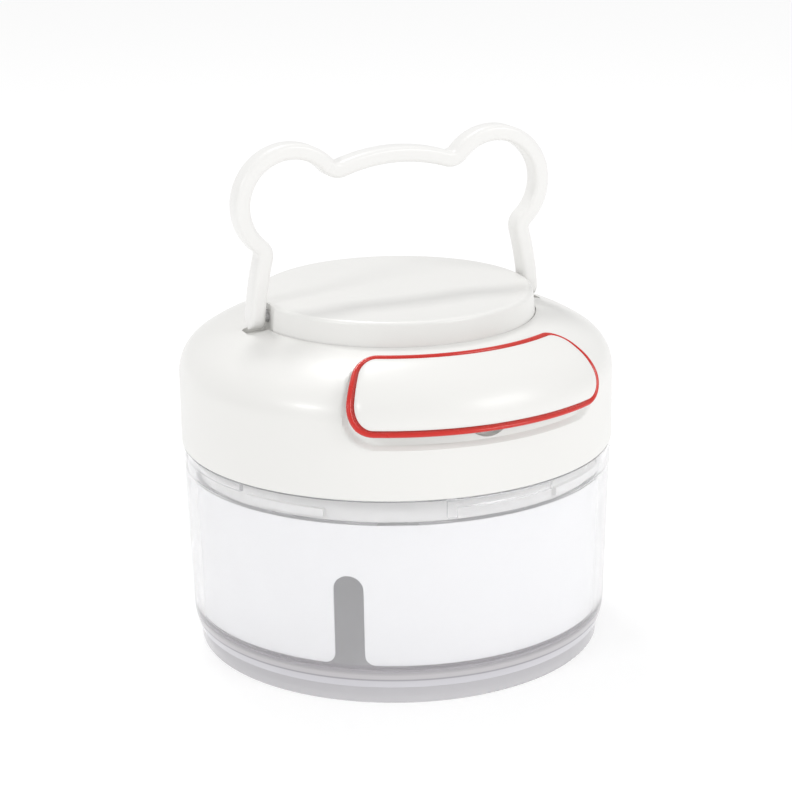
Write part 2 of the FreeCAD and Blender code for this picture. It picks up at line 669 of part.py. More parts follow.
def make_plate():
    body = turned("plate_body", [
        (s.bush_outer, s.plate_low),
        (s.skirt_inner, s.plate_low),
        (s.skirt_inner, s.skirt_low),
        (s.skirt_outer, s.skirt_low),
        (s.skirt_outer, s.plate_low),
        (s.plate_radius, s.plate_low),
        (s.plate_radius, s.plate_high),
        (s.hub_collar, s.plate_high),
        (s.hub_collar, s.hub_collar_top),
        (s.bush_outer, s.hub_collar_top),
    ])
    lug = box(s.skirt_outer - s.merge, s.lug_low, s.lug_outer, s.lug_high)
    add_turn(body, "lug", lug, s.lug_bearing, s.lug_sweep)
    repeat(body, "lugs", [doc.getObject("lug")], 4)
    spot = at_bearing(s.screw_circle, 45)
    thickness = s.plate_high - s.plate_low
    add_prism(body, "plate_hole", "XY_Plane", [(*spot, s.plate_hole)], s.plate_low, thickness, cut=True)
    head = [(*spot, s.head_recess)]
    add_prism(body, "head_recess", "XY_Plane", head, s.plate_low, s.recess_depth, cut=True)
    repeat(body, "plate_holes", [doc.getObject("plate_hole"), doc.getObject("head_recess")], 4)
    return keep("cover_plate", body)


def make_bush():
    return keep("drive_bush", turned("bush_body", box(
        s.bush_inner, s.bush_low, s.bush_outer, s.hub_collar_top)))


def make_seal():
    return keep("lid_seal", turned("seal_body", [
        (s.seal_inner, s.seal_low),
        (s.seal_outer, s.seal_low),
        (s.seal_outer, s.seal_high - s.seal_bevel),
        (s.seal_outer - s.seal_bevel, s.seal_high),
        (s.seal_inner + s.seal_bevel, s.seal_high),
        (s.seal_inner, s.seal_high - s.seal_bevel),
    ]))


def make_lid_screws():
    """Four screws hold the cover plate from below, two hold the cap from inside the dome."""
    diagonal = s.screw_circle.value * math.sqrt(0.5)
    seat = s.plate_low.value + s.slip.value
    corners = [Placement(Vector(x, y, seat), Rotation())
               for x in (diagonal, -diagonal) for y in (diagonal, -diagonal)]
    screws("plate_screws", corners, s.head_recess - s.snug * 2, s.recess_depth - s.snug, s.pilot_radius,
           s.plate_screw_length.value)
    under_dome = (s.dome_top - s.dome_wall - s.cap_screw_head_height - s.slip).value
    ends = [Placement(Vector(0, y, under_dome), Rotation())
            for y in (s.cap_screw_reach.value, -s.cap_screw_reach.value)]
    screws("cap_screws", ends, s.cap_screw_head, s.cap_screw_head_height, s.pilot_radius,
           s.cap_screw_length.value)


# ---------------------------------------------------------------- bail

def circle_meeting(first, first_radius, second, second_radius, side):
    """Where two circles cross, on the left (1) or right (-1) of the line between centres."""
    line = second - first
    along = (first_radius ** 2 - second_radius ** 2 + line.Length ** 2) / (2 * line.Length)
    across = math.sqrt(first_radius ** 2 - along ** 2)
    unit = line / line.Length
    return first + unit * along + Vector(-unit.y, unit.x, 0) * across * side


def bail_path(body):
    """Centre line of the bail's right half: leg, waist, ear, valley and half of the top bar."""
    leg_side = math.sqrt(s.leg_bow.value ** 2 - (s.pivot_height - s.leg_centre_height).value ** 2)
    leg_centre = Vector(s.leg_reach.value - leg_side, s.leg_centre_height.value, 0)
    ear_centre = Vector(s.ear_reach.value, s.ear_height.value, 0)
    bar_centre = Vector(0, (s.bar_apex - s.bar_bow).value, 0)
    leg, ear, bar = s.leg_bow.value, s.ear_radius.value, s.bar_bow.value
    waist, valley = s.waist_radius.value, s.valley_radius.value
    waist_centre = circle_meeting(leg_centre, leg + waist, ear_centre, ear + waist, -1)
    valley_centre = circle_meeting(ear_centre, ear + valley, bar_centre, bar + valley, -1)
    foot = Vector(s.leg_reach.value, s.pivot_height.value, 0)
    leg_end = leg_centre + (waist_centre - leg_centre) * (leg / (leg + waist))
    ear_start = ear_centre + (waist_centre - ear_centre) * (ear / (ear + waist))
    ear_end = ear_centre + (valley_centre - ear_centre) * (ear / (ear + valley))
    bar_start = bar_centre + (valley_centre - bar_centre) * (bar / (bar + valley))
    apex = Vector(0, s.bar_apex.value, 0)
    sketch = add_sketch(body, "bail_centre_line", "XZ_Plane")

    def arc(centre, radius, start, end):
        angles = [math.atan2(point.y - centre.y, point.x - centre.x) for point in (start, end)]
        circle = Part.Circle(centre, Vector(0, 0, 1), radius)
        return sketch.addGeometry(Part.ArcOfCircle(circle, angles[0], angles[1]))

    leg_arc = arc(leg_centre, leg, foot, leg_end)
    waist_arc = arc(waist_centre, waist, ear_start, leg_end)
    ear_arc = arc(ear_centre, ear, ear_start, ear_end)
    valley_arc = arc(valley_centre, valley, bar_start, ear_end)
    bar_arc = arc(bar_centre, bar, bar_start, apex)
    joins = [(leg_arc, 2, waist_arc, 2), (waist_arc, 1, ear_arc, 1),
             (ear_arc, 2, valley_arc, 2), (valley_arc, 1, bar_arc, 1)]
    for join in joins:
        sketch.addConstraint(Sketcher.Constraint("Tangent", *join))
    radii = [(leg_arc, s.leg_bow), (waist_arc, s.waist_radius), (ear_arc, s.ear_radius),
             (valley_arc, s.valley_radius), (bar_arc, s.bar_bow)]
    for edge, radius in radii:
        tie(sketch, Sketcher.Constraint("Radius", edge, radius.value), radius)
    tie_point(sketch, leg_arc, 1, s.leg_reach, s.pivot_height)
    tie(sketch, Sketcher.Constraint("DistanceY", -1, 1, leg_arc, 3, leg_centre.y), s.leg_centre_height)
    tie_point(sketch, ear_arc, 3, s.ear_reach, s.ear_height)
    tie_point(sketch, bar_arc, 2, as_size(0), s.bar_apex)
    sketch.addConstraint(Sketcher.Constraint("PointOnObject", bar_arc, 3, -2))
    return sketch


def make_bail():
    body = new_body("bail_body")
    path = bail_path(body)
    section = add_sketch(body, "bail_section", "XY_Plane", s.pivot_height)
    half_width = s.bail_width * 0.5
    half_depth = s.bail_depth * 0.5
    corners = soft_box(half_width, -half_depth, half_depth, s.bail_edge, s.bail_edge)
    draw(section, [(s.leg_reach + corner[0], *corner[1:]) for corner in corners])
    pipe = body.newObject("PartDesign::AdditivePipe", "bail_sweep")
    pipe.Profile = section
    pipe.Spine = (path, [f"Edge{number}" for number in range(1, 6)])
    end = [(0, s.pivot_height, half_depth)]
    add_prism(body, "leg_end", "YZ_Plane", end, s.leg_reach - half_width, s.bail_width)
    hole = [(0, s.pivot_height, s.bail_pin + s.slip)]
    drilled = s.pin_outer - s.leg_reach + half_width + s.slip
    start = s.leg_reach - half_width
    add_prism(body, "leg_hole", "YZ_Plane", hole, start - s.gap, drilled + s.gap, cut=True)
    mirror = body.newObject("PartDesign::Mirrored", "left_half")
    mirror.Originals = [pipe, doc.getObject("leg_end"), doc.getObject("leg_hole")]
    mirror.MirrorPlane = (origin_part(body, "YZ_Plane"), [""])
    body.Tip = mirror
    return keep("bail_handle", body)


def make_pivot_pins():
    pins = []
    for side, bearing in (("right", 90), ("left", -90)):
        pin = doc.addObject("Part::Cylinder", f"pivot_pin_{side}")
        pin.Placement = facing(bearing, s.pivot_height, s.pin_inner)
        pin.setExpression("Radius", s.bail_pin.formula)
        pin.setExpression("Height", (s.pin_outer - s.pin_inner).formula)
        pins.append(pin)
    group = doc.addObject("Part::Compound", "pivot_pin_pair")
    group.Links = pins
    return keep("pivot_pins", group)


# ---------------------------------------------------------------- grip and cord

def make_grip():
    block = dome_slab("grip_block", s.grip_back_gap, s.grip_rim_gap, [as_size(0)] * 3, s.grip_corner)
    insets = [s.face_side_inset, s.face_low_inset, s.face_top_inset]
    inside = s.grip_corner - s.face_side_inset
    above = s.face_front_gap + s.dome_wall
    seat = dome_slab("face_seat", s.face_seat_gap, above, [-inset for inset in insets], inside)
    hollow = combine("Part::Cut", "grip_tray", block, seat)
    knot_room = s.knot_radius + s.gap
    knot_back = s.knot_start - s.snug
    knot_front = s.knot_start + s.knot_length + s.snug
    cord_room = s.cord_radius + s.gap
    cord_hole = turned("cord_hole", [
        (0, s.outlet_back),
        (cord_room, s.outlet_back),
        (cord_room, knot_back),
        (knot_room, knot_back),
        (knot_room, knot_front),
        (0, knot_front),
    ])
    cord_hole.Placement = facing(0, s.cord_height)
    drills = [cord_hole]
    head_bore = s.grip_screw_head + s.snug
    pilot = s.grip_screw_shank + s.slip
    pilot_end = s.grip_screw_seat + s.grip_pilot_depth
    for side in (1, -1):
        label = "right" if side > 0 else "left"
        drill = turned(f"screw_drill_{label}", [
            (0, s.outlet_back),
            (head_bore, s.outlet_back),
            (head_bore, s.grip_screw_seat),
            (pilot, s.grip_screw_seat),
            (pilot, pilot_end),
            (0, pilot_end),
        ])
        drill.Placement = facing(s.grip_screw_bearing * side, s.grip_screw_height)
        drills.append(drill)
    tools = doc.addObject("Part::Compound", "grip_drills")
    tools.Links = drills
    keep("grip_back", combine("Part::Cut", "grip_back_cut", hollow, tools))
    slim = [-inset - s.snug for inset in insets]
    plate = dome_slab("face_plate", s.face_seat_gap, s.face_front_gap, slim, inside - s.snug)
    keep("grip_face", combine("Part::Cut", "grip_face_cut", plate, tools))
    start = s.grip_screw_seat - s.grip_screw_head_height
    places = [facing(s.grip_screw_bearing * side, s.grip_screw_height, start) for side in (1, -1)]
    screws("grip_screws", places, s.grip_screw_head, s.grip_screw_head_height, s.grip_screw_shank,
           s.grip_screw_length.value)


def make_eyelet():
    back, front, face = s.eyelet_back, s.recess_floor, s.outlet_back - s.slip
    flare = s.eyelet_flare
    body = turned("eyelet_body", [
        (s.eyelet_throat + flare, back, flare),
        (s.eyelet_flange, back),
        (s.eyelet_flange, face),
        (s.eyelet_neck, face),
        (s.eyelet_neck, front),
        (s.eyelet_throat + flare, front),
        (s.eyelet_throat, front - flare, flare),
        (s.eyelet_throat, back + flare),
    ])
    body.Placement = facing(0, s.cord_height)
    return keep("cord_eyelet", body)


def make_cord_lead():
    """The cord between the winding and the outlet: two straight runs and one arc between them."""
    corner = Vector(0, -s.lead_corner.value, s.cord_height.value)
    touch = math.acos(s.winding_radius.value / abs(corner.y))
    tangent_point = Vector(s.winding_radius.value * math.sin(touch),
                           -s.winding_radius.value * math.cos(touch), s.cord_height.value)
    inward = (corner - tangent_point).normalize()
    start = tangent_point + inward * s.lead_trim.value
    end = Vector(0, -s.lead_end.value, s.cord_height.value)
    outward = Vector(0, -1, 0)
    turn = inward.getAngle(outward)
    bend = s.lead_bend.value
    setback = bend * math.tan(turn / 2)
    arc_start = corner - inward * setback
    arc_end = corner + outward * setback
    middle = corner + (outward - inward).normalize() * bend * (1 / math.cos(turn / 2) - 1)
    path = Part.Wire([
        Part.LineSegment(start, arc_start).toShape(),
        Part.Arc(arc_start, middle, arc_end).toShape(),
        Part.LineSegment(arc_end, end).toShape(),
    ])
    section = Part.Wire([Part.Circle(start, inward, s.cord_radius.value).toShape()])
    lead = doc.addObject("Part::Feature", "cord_lead_tube")
    lead.Shape = path.makePipeShell([section], True, False)
    expected = math.pi * s.cord_radius.value ** 2 * path.Length
    print(f"cord lead: bend {bend} mm, volume {lead.Shape.Volume:.2f} of {expected:.2f} mm3")
    return keep("cord_lead", lead)


def make_cord_tail():
    """The end of the cord inside the grip, with the knot that holds it."""
    start = s.tail_start
    bulge = s.knot_bulge
    knot_end = s.knot_start + s.knot_length
    middle = s.knot_start + s.knot_length * 0.5
    body = turned("cord_tail_body", [
        (0, start),
        (s.cord_radius, start),
        (s.cord_radius, s.knot_start),
        (s.knot_radius, middle, bulge),
        (s.cord_radius, knot_end, bulge),
        (0, knot_end),
    ])
    body.Placement = facing(0, s.cord_height)
    return keep("cord_tail", body)


# ---------------------------------------------------------------- reel, spring and drive

def make_axle():
    return keep("reel_axle", turned("axle_body", [
        (0, s.axle_low),
        (s.axle_radius, s.axle_low),
        (s.axle_radius, s.clip_low),
        (s.groove_radius, s.clip_low),
        (s.groove_radius, s.clip_high),
        (s.axle_radius, s.clip_high),
        (s.axle_radius, s.axle_high),
        (0, s.axle_high),
    ]))


def make_clip():
    body = turned("clip_body", box(s.groove_radius + s.slip, s.clip_low + s.slip,
                                   s.clip_outer, s.clip_high - s.slip))
    mouth = box(0, -s.clip_mouth, s.clip_outer + s.gap, s.clip_mouth)
    add_prism(body, "clip_mouth", "XY_Plane", [mouth], s.clip_low, s.clip_high - s.clip_low, cut=True)
    return keep("axle_clip", body)


def make_reel():
    body = turned("reel_body", [
        (s.reel_bore, s.reel_low),
        (s.reel_hub, s.reel_low),
        (s.reel_hub, s.web_low),
        (s.ring_inner, s.web_low),
        (s.ring_inner, s.ring_low),
        (s.ring_outer, s.ring_low),
        (s.ring_outer, s.flange_low),
        (s.reel_flange, s.flange_low),
        (s.reel_flange, s.winding_low),
        (s.drum_radius, s.winding_low),
        (s.drum_radius, s.winding_high),
        (s.reel_flange, s.winding_high),
        (s.reel_flange, s.upper_flange),
        (s.drum_radius, s.upper_flange),
        (s.drum_radius, s.reel_high),
        (s.cup_radius, s.reel_high),
        (s.cup_radius, s.web_high),
        (s.reel_bore, s.web_high),
    ])
    tooth = [
        at_bearing(s.tooth_radius, s.tooth_bearing),
        at_bearing(s.tooth_root, s.tooth_bearing),
        at_bearing(s.tooth_root, s.tooth_bearing + s.tooth_sweep),
    ]
    add_prism(body, "ratchet_tooth", "XY_Plane", [tooth], s.ring_low, s.tooth_high - s.ring_low)
    repeat(body, "ratchet", [doc.getObject("ratchet_tooth")], 8)
    return keep("cord_reel", body)


def make_spring_cover():
    return keep("spring_cover", turned("spring_cover_body", box(
        s.cover_inner, s.reel_high, s.cover_outer, s.cover_high)))


def make_winding():
    """Three turns of cord lying on one another round the drum."""
    radius = s.cord_radius
    low = s.cord_height - s.cord_pitch
    drum = s.drum_radius + s.slip
    outline = [(drum, low - radius + s.slip), (s.winding_radius, low - radius + s.slip)]
    for turn in range(3):
        top = low + s.cord_pitch * turn + radius
        outline.append((s.winding_radius, top - s.slip if turn == 2 else top, s.turn_bulge))
    outline.append((drum, low + s.cord_pitch * 2 + radius - s.slip))
    return keep("cord_winding", turned("winding_body", outline))


def make_clock_spring():
    """A flat strip wound between the axle boss and the reel's cup."""
    strip = s.spring_strip.value
    steps = 16
    count = int(s.spring_turns.value) * steps

    def spiral(shift):
        points = []
        for step in range(count + 1):
            radius = s.spring_inner.value + (s.spring_outer - s.spring_inner).value * step / count + shift
            angle = 2 * math.pi * step / steps
            points.append(Vector(radius * math.cos(angle), radius * math.sin(angle), s.spring_low.value))
        curve = Part.BSplineCurve()
        curve.interpolate(points)
        return curve.toShape(), points[0], points[-1]

    inside, inside_start, inside_end = spiral(0)
    outside, outside_start, outside_end = spiral(strip)
    inner_end = Part.LineSegment(inside_start, outside_start).toShape()
    outer_end = Part.LineSegment(outside_end, inside_end).toShape()
    strip_face = Part.Face(Part.Wire([inside, outer_end, outside, inner_end]))
    spring = doc.addObject("Part::Feature", "clock_spring_strip")
    spring.Shape = strip_face.extrude(Vector(0, 0, (s.spring_high - s.spring_low).value))
    return keep("clock_spring", spring)


def make_drive_hub():
    body = turned("hub_body", [
        (s.socket_bore, s.socket_low),
        (s.hub_radius, s.socket_low),
        (s.hub_radius, s.hub_flange_low),
        (s.hub_flange, s.hub_flange_low),
        (s.hub_flange, s.hub_flange_top),
        (s.socket_bore, s.hub_flange_top),
        (s.socket_bore, s.hub_top),
        (s.hub_bore, s.hub_top),
        (s.hub_bore, s.hub_bore_low),
        (0, s.hub_bore_low),
        (0, s.socket_top),
        (s.socket_bore, s.socket_top),
    ])
    rib = box(s.rib_reach, -s.rib_half, s.socket_bore + s.merge, s.rib_half)
    add_prism(body, "socket_rib", "XY_Plane", [rib], s.rib_low, s.socket_top - s.rib_low + s.merge)
    repeat(body, "socket_ribs", [doc.getObject("socket_rib")], 2)
    return keep("drive_hub", body)


def make_rotor():
    """A ring with two springy arms, whose tips drop behind the reel's ratchet teeth."""
    body = turned("rotor_body", box(s.rotor_bore, s.rotor_low, s.rotor_radius, s.rotor_high))
    arm = [
        at_bearing(s.rotor_radius - s.snug, s.arm_root),
        (*at_bearing(s.pawl_outer, s.pawl_bearing), s.arm_outer_bow),
        at_bearing(s.pawl_inner, s.pawl_bearing),
        (*at_bearing(s.arm_inner_root, s.arm_inner_bearing), -s.arm_inner_bow),
    ]
    add_prism(body, "pawl_arm", "XY_Plane", [arm], s.rotor_low, s.rotor_high - s.rotor_low)
    repeat(body, "pawl_arms", [doc.getObject("pawl_arm")], 2)
    return keep("clutch_rotor", body)


# ---------------------------------------------------------------- build, check and write

make_base()
make_bowl()
make_liner()
make_pin()
make_shaft(make_blades())
make_seal()
make_dome()
make_cap()
make_plate()
make_bush()
make_lid_screws()
make_bail()
make_pivot_pins()
make_eyelet()
make_axle()
make_clip()
make_reel()
make_spring_cover()
make_winding()
make_clock_spring()
make_cord_lead()
make_drive_hub()
make_rotor()
make_grip()
make_cord_tail()
doc.recompute()

faults = [part.Name for part in doc.Objects if {"Invalid", "Error"} & set(part.State)]
for feature in doc.Objects:
    before = getattr(feature, "BaseFeature", None)
    if before is None or feature.TypeId not in ("PartDesign::Pocket", "PartDesign::Pad"):
        continue
    if feature.Shape.isNull() or before.Shape.isNull():
        continue
    change = feature.Shape.Volume - before.Shape.Volume
    if (change < 0) != (feature.TypeId == "PartDesign::Pocket"):
        faults.append(f"{feature.Name} changes nothing")
for name, piece in kept:
    if piece.Shape.isNull() or not piece.Shape.isValid() or not piece.Shape.Solids:
        faults.append(name)
if faults:
    raise SystemExit(f"not sound: {faults}")

os.makedirs("parts", exist_ok=True)
for name, piece in kept:
    piece.Shape.exportStep(f"parts/{name}.step")
    extent = piece.Shape.BoundBox
    print(f"{name:14} {len(piece.Shape.Solids)} solids {piece.Shape.Volume:9.1f} mm3 "
          f"z {extent.ZMin:7.2f} to {extent.ZMax:7.2f}  x {extent.XMin:7.2f} to {extent.XMax:7.2f}")
print(len(kept), "nodes")
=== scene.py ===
import json
import math

import bmesh
import bpy
from mathutils import Matrix, Vector


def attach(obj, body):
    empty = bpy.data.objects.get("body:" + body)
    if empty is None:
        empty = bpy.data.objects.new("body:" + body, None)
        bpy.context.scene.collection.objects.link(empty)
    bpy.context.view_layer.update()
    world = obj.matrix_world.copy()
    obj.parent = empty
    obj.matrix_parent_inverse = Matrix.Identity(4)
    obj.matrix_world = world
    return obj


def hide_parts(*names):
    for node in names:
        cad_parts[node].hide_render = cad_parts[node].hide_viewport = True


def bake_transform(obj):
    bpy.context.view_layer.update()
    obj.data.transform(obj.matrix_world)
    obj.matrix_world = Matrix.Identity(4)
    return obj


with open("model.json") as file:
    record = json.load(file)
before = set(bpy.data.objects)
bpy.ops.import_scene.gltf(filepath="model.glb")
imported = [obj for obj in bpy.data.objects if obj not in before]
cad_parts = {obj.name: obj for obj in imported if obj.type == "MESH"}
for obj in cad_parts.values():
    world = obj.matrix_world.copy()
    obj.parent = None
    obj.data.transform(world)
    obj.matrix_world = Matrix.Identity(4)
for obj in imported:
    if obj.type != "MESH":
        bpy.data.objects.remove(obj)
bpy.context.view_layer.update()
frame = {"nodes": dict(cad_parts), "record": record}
nodes = frame["nodes"]

# Pieces are worked out in millimetres, as in the CAD model, and turned into metres by MM.
# The camera, the lamps and the materials are in metres from the start.
MM = 0.001


# ---------------------------------------------------------------- camera, light and floor

CAMERA_AZIMUTH = -23.9
CAMERA_ELEVATION = 16.97
CAMERA_ROLL = -0.81
CAMERA_DISTANCE = 0.460
CAMERA_TARGET = Vector((0, 0, 0.0516))
CAMERA_LENS = 98.0
CAMERA_SENSOR = 36.0
CAMERA_NEAR = 0.01
LID_MIDDLE = Vector((0, 0, 0.065))
FLOOR_HALF = 60.0
FLOOR_GREY, FLOOR_GLOW = 0.4, 0.65


def make_camera():
    """The camera stands to the left of the grip, a little above the lid, and leans by under a degree."""
    azimuth = math.radians(CAMERA_AZIMUTH)
    elevation = math.radians(CAMERA_ELEVATION)
    roll = math.radians(CAMERA_ROLL)
    back = Vector((math.sin(azimuth) * math.cos(elevation),
                   -math.cos(azimuth) * math.cos(elevation), math.sin(elevation)))
    right = Vector((math.cos(azimuth), math.sin(azimuth), 0))
    up = back.cross(right)
    across = right * math.cos(roll) + up * math.sin(roll)
    along = up * math.cos(roll) - right * math.sin(roll)
    data = bpy.data.cameras.new("camera")
    data.lens = CAMERA_LENS
    data.sensor_width = CAMERA_SENSOR
    data.clip_start = CAMERA_NEAR
    camera = bpy.data.objects.new("camera", data)
    bpy.context.scene.collection.objects.link(camera)
    turn = Matrix((across, along, back)).transposed()
    camera.matrix_world = Matrix.Translation(CAMERA_TARGET + back * CAMERA_DISTANCE) @ turn.to_4x4()
    bpy.context.scene.camera = camera


def make_softbox(name, bearing, rise, distance, size, power):
    """A rectangular lamp aimed at the lid; bearing is from -Y towards +X, both angles in degrees."""
    data = bpy.data.lights.new(name, "AREA")
    data.shape = "RECTANGLE"
    data.size, data.size_y = size
    data.energy = power
    light = bpy.data.objects.new(name, data)
    bpy.context.scene.collection.objects.link(light)
    across, up = math.radians(bearing), math.radians(rise)
    away = Vector((math.sin(across) * math.cos(up), -math.cos(across) * math.cos(up), math.sin(up)))
    turn = (-away).to_track_quat("-Z", "Y")
    light.matrix_world = Matrix.Translation(LID_MIDDLE + away * distance) @ turn.to_matrix().to_4x4()


def make_world(strength):
    """White light from all round."""
    world = bpy.data.worlds.new("studio")
    world.use_nodes = True
    bpy.context.scene.world = world
    background = world.node_tree.nodes["Background"]
    background.inputs["Color"].default_value = (1, 1, 1, 1)
    background.inputs["Strength"].default_value = strength


def make_floor():
    """Pale paper that glows a little, so that shadows on it stay faint."""
    corners = [(across * FLOOR_HALF, along * FLOOR_HALF, 0)
               for across, along in ((-1, -1), (1, -1), (1, 1), (-1, 1))]
    mesh = bpy.data.meshes.new("floor")
    mesh.from_pydata(corners, [], [(0, 1, 2, 3)])
    floor = bpy.data.objects.new("floor", mesh)
    bpy.context.scene.collection.objects.link(floor)
    material, shader = new_material("floor_paper")
    shader.inputs["Base Color"].default_value = (FLOOR_GREY, FLOOR_GREY, FLOOR_GREY, 1)
    shader.inputs["Roughness"].default_value = 0.9
    shader.inputs["Specular IOR Level"].default_value = 0.1
    shader.inputs["Emission Color"].default_value = (1, 1, 1, 1)
    shader.inputs["Emission Strength"].default_value = FLOOR_GLOW
    mesh.materials.append(material)


# ---------------------------------------------------------------- materials

def new_material(name):
    """A node material and its shader."""
    material = bpy.data.materials.new(name)
    material.use_nodes = True
    return material, material.node_tree.nodes["Principled BSDF"]


def object_coordinates(tree):
    return tree.nodes.new("ShaderNodeTexCoord").outputs["Object"]


def noise(tree, scale, detail=3.0, stretch=None):
    """A noise texture in object space, with its scale in cycles per metre."""
    texture = tree.nodes.new("ShaderNodeTexNoise")
    texture.inputs["Scale"].default_value = scale
    texture.inputs["Detail"].default_value = detail
    source = object_coordinates(tree)
    if stretch is not None:
        mapping = tree.nodes.new("ShaderNodeMapping")
        mapping.inputs["Scale"].default_value = stretch
        tree.links.new(source, mapping.inputs["Vector"])
        source = mapping.outputs["Vector"]
    tree.links.new(source, texture.inputs["Vector"])
    return texture.outputs["Fac"]


def spread(tree, value, low, high):
    """Maps a 0 to 1 value to low to high."""
    span = tree.nodes.new("ShaderNodeMapRange")
    span.inputs["To Min"].default_value = low
    span.inputs["To Max"].default_value = high
    tree.links.new(value, span.inputs["Value"])
    return span.outputs["Result"]


def blend_colours(tree, value, dark, light):
    """The dark colour where the value is 0, the light one where it is 1."""
    mix = tree.nodes.new("ShaderNodeMix")
    mix.data_type = "RGBA"
    mix.inputs["A"].default_value = (*dark, 1)
    mix.inputs["B"].default_value = (*light, 1)
    tree.links.new(value, mix.inputs["Factor"])
    return mix.outputs["Result"]


def add_bump(tree, shader, height, strength, distance):
    """Bends the shader's normal by a height; distance is the depth of the relief in metres."""
    bump = tree.nodes.new("ShaderNodeBump")
    bump.inputs["Strength"].default_value = strength
    bump.inputs["Distance"].default_value = distance
    tree.links.new(height, bump.inputs["Height"])
    tree.links.new(bump.outputs["Normal"], shader.inputs["Normal"])


def moulded_plastic(name, colour, roughness, tint=0.012, texture_scale=900.0, depth=0.00001):
    """Injection-moulded plastic: faint flow marks in its colour and gloss, and a very fine skin."""
    material, shader = new_material(name)
    tree = material.node_tree
    flow = noise(tree, 28.0, 4.0, (1, 1, 2.5))
    darker = tuple(max(channel - tint, 0) for channel in colour)
    tree.links.new(blend_colours(tree, flow, darker, colour), shader.inputs["Base Color"])
    gloss = noise(tree, 160.0, 5.0)
    tree.links.new(spread(tree, gloss, roughness * 0.8, roughness * 1.2), shader.inputs["Roughness"])
    add_bump(tree, shader, noise(tree, texture_scale, 2.0), 0.15, depth)
    return material, shader


def clear_plastic(name, tint, roughness, ior, clearness):
    """Clear, slightly milky plastic with faint flow ripples, so that what is behind it wavers a little."""
    material, shader = new_material(name)
    tree = material.node_tree
    shader.inputs["IOR"].default_value = ior
    tree.links.new(clearness_by_height(tree, clearness), shader.inputs["Transmission Weight"])
    haze = noise(tree, 60.0, 4.0)
    tree.links.new(spread(tree, haze, roughness * 0.5, roughness * 1.5), shader.inputs["Roughness"])
    # The bowl's colour is painted light: a painted highlight at the foot and painted shade over the floor.
    tree.links.new(bowl_painted_light_bands(tree, tint), shader.inputs["Base Color"])
    add_bump(tree, shader, noise(tree, 45.0, 2.0, (1, 1, 0.4)), 0.1, 0.0002)
    let_lamps_through(tree, shader, tint)
    return material, shader


def height_share(tree, low, high):
    """0 below the height low, 1 above the height high."""
    height = tree.nodes.new("ShaderNodeSeparateXYZ")
    tree.links.new(object_coordinates(tree), height.inputs["Vector"])
    span = tree.nodes.new("ShaderNodeMapRange")
    span.inputs["From Min"].default_value = low
    span.inputs["From Max"].default_value = high
    tree.links.new(height.outputs["Z"], span.inputs["Value"])
    return span.outputs["Result"]


def clearness_by_height(tree, clearness):
    """The thick floor and foot look milky, the thin wall above them looks clear."""
    return spread(tree, height_share(tree, FLOOR_MIDDLE, WALL_FOOT), FLOOR_CLEARNESS, clearness)


def bowl_painted_light_bands(tree, tint):
    """Painted light by height: a painted highlight at the foot, then a thin dark line of painted shade, then
    greyer with painted shade from the dim inside, up to the wall.
    """
    bands = tree.nodes.new("ShaderNodeValToRGB")
    ramp = bands.color_ramp
    ramp.elements[0].color = (*FOOT_PAINTED_HIGHLIGHT, 1)
    ramp.elements[1].color = (*tint, 1)
    for place, colour in ((FOOT_TOP, FOOT_PAINTED_HIGHLIGHT), (LINE_MIDDLE, LINE_PAINTED_SHADE), (LINE_TOP, FLOOR_PAINTED_SHADE),
                          (WALL_FOOT, FLOOR_PAINTED_SHADE), (WALL_CLEAR, tint)):
        ramp.elements.new(place / RAMP_HEIGHT).color = (*colour, 1)
    tree.links.new(height_share(tree, 0.0, RAMP_HEIGHT), bands.inputs["Fac"])
    return bands.outputs["Color"]


def let_lamps_through(tree, shader, tint):
    """Lamps and sky light what is behind a clear or thin plastic straight through it."""
    path = tree.nodes.new("ShaderNodeLightPath")
    through = tree.nodes.new("ShaderNodeBsdfTransparent")
    through.inputs["Color"].default_value = (*tint, 1)
    mix = tree.nodes.new("ShaderNodeMixShader")
    tree.links.new(path.outputs["Is Shadow Ray"], mix.inputs["Fac"])
    tree.links.new(shader.outputs["BSDF"], mix.inputs[1])
    tree.links.new(through.outputs["BSDF"], mix.inputs[2])
    tree.links.new(mix.outputs["Shader"], tree.nodes["Material Output"].inputs["Surface"])


def brushed_metal(name, colour, roughness, stretch):
    """Metal with a fine grain, whose lines run across the axis of the largest stretch."""
    material, shader = new_material(name)
    tree = material.node_tree
    shader.inputs["Metallic"].default_value = 1.0
    lines = noise(tree, 700.0, 6.0, stretch)
    darker = tuple(channel * 0.8 for channel in colour)
    tree.links.new(blend_colours(tree, lines, darker, colour), shader.inputs["Base Color"])
    tree.links.new(spread(tree, lines, roughness * 0.6, roughness * 1.5), shader.inputs["Roughness"])
    add_bump(tree, shader, lines, 0.2, 0.00001)
    return material, shader


def braided_cord(name, colour):
    """Two sets of crossing strands that wind round the cord."""
    material, shader = new_material(name)
    tree = material.node_tree
    heights = []
    for lean in (1, -1):
        wave = tree.nodes.new("ShaderNodeTexWave")
        wave.inputs["Scale"].default_value = 260.0
        wave.inputs["Distortion"].default_value = 0.6
        mapping = tree.nodes.new("ShaderNodeMapping")
        mapping.inputs["Rotation"].default_value = (0.7 * lean, 0.5, 0.8 * lean)
        tree.links.new(object_coordinates(tree), mapping.inputs["Vector"])
        tree.links.new(mapping.outputs["Vector"], wave.inputs["Vector"])
        heights.append(wave.outputs["Fac"])
    strands = tree.nodes.new("ShaderNodeMath")
    strands.operation = "MAXIMUM"
    tree.links.new(heights[0], strands.inputs[0])
    tree.links.new(heights[1], strands.inputs[1])
    weave = strands.outputs["Value"]
    darker = tuple(channel * 0.72 for channel in colour)
    tree.links.new(blend_colours(tree, weave, darker, colour), shader.inputs["Base Color"])
    shader.inputs["Roughness"].default_value = 0.75
    shader.inputs["Sheen Weight"].default_value = 0.3
    add_bump(tree, shader, weave, 0.6, 0.0002)
    return material, shader


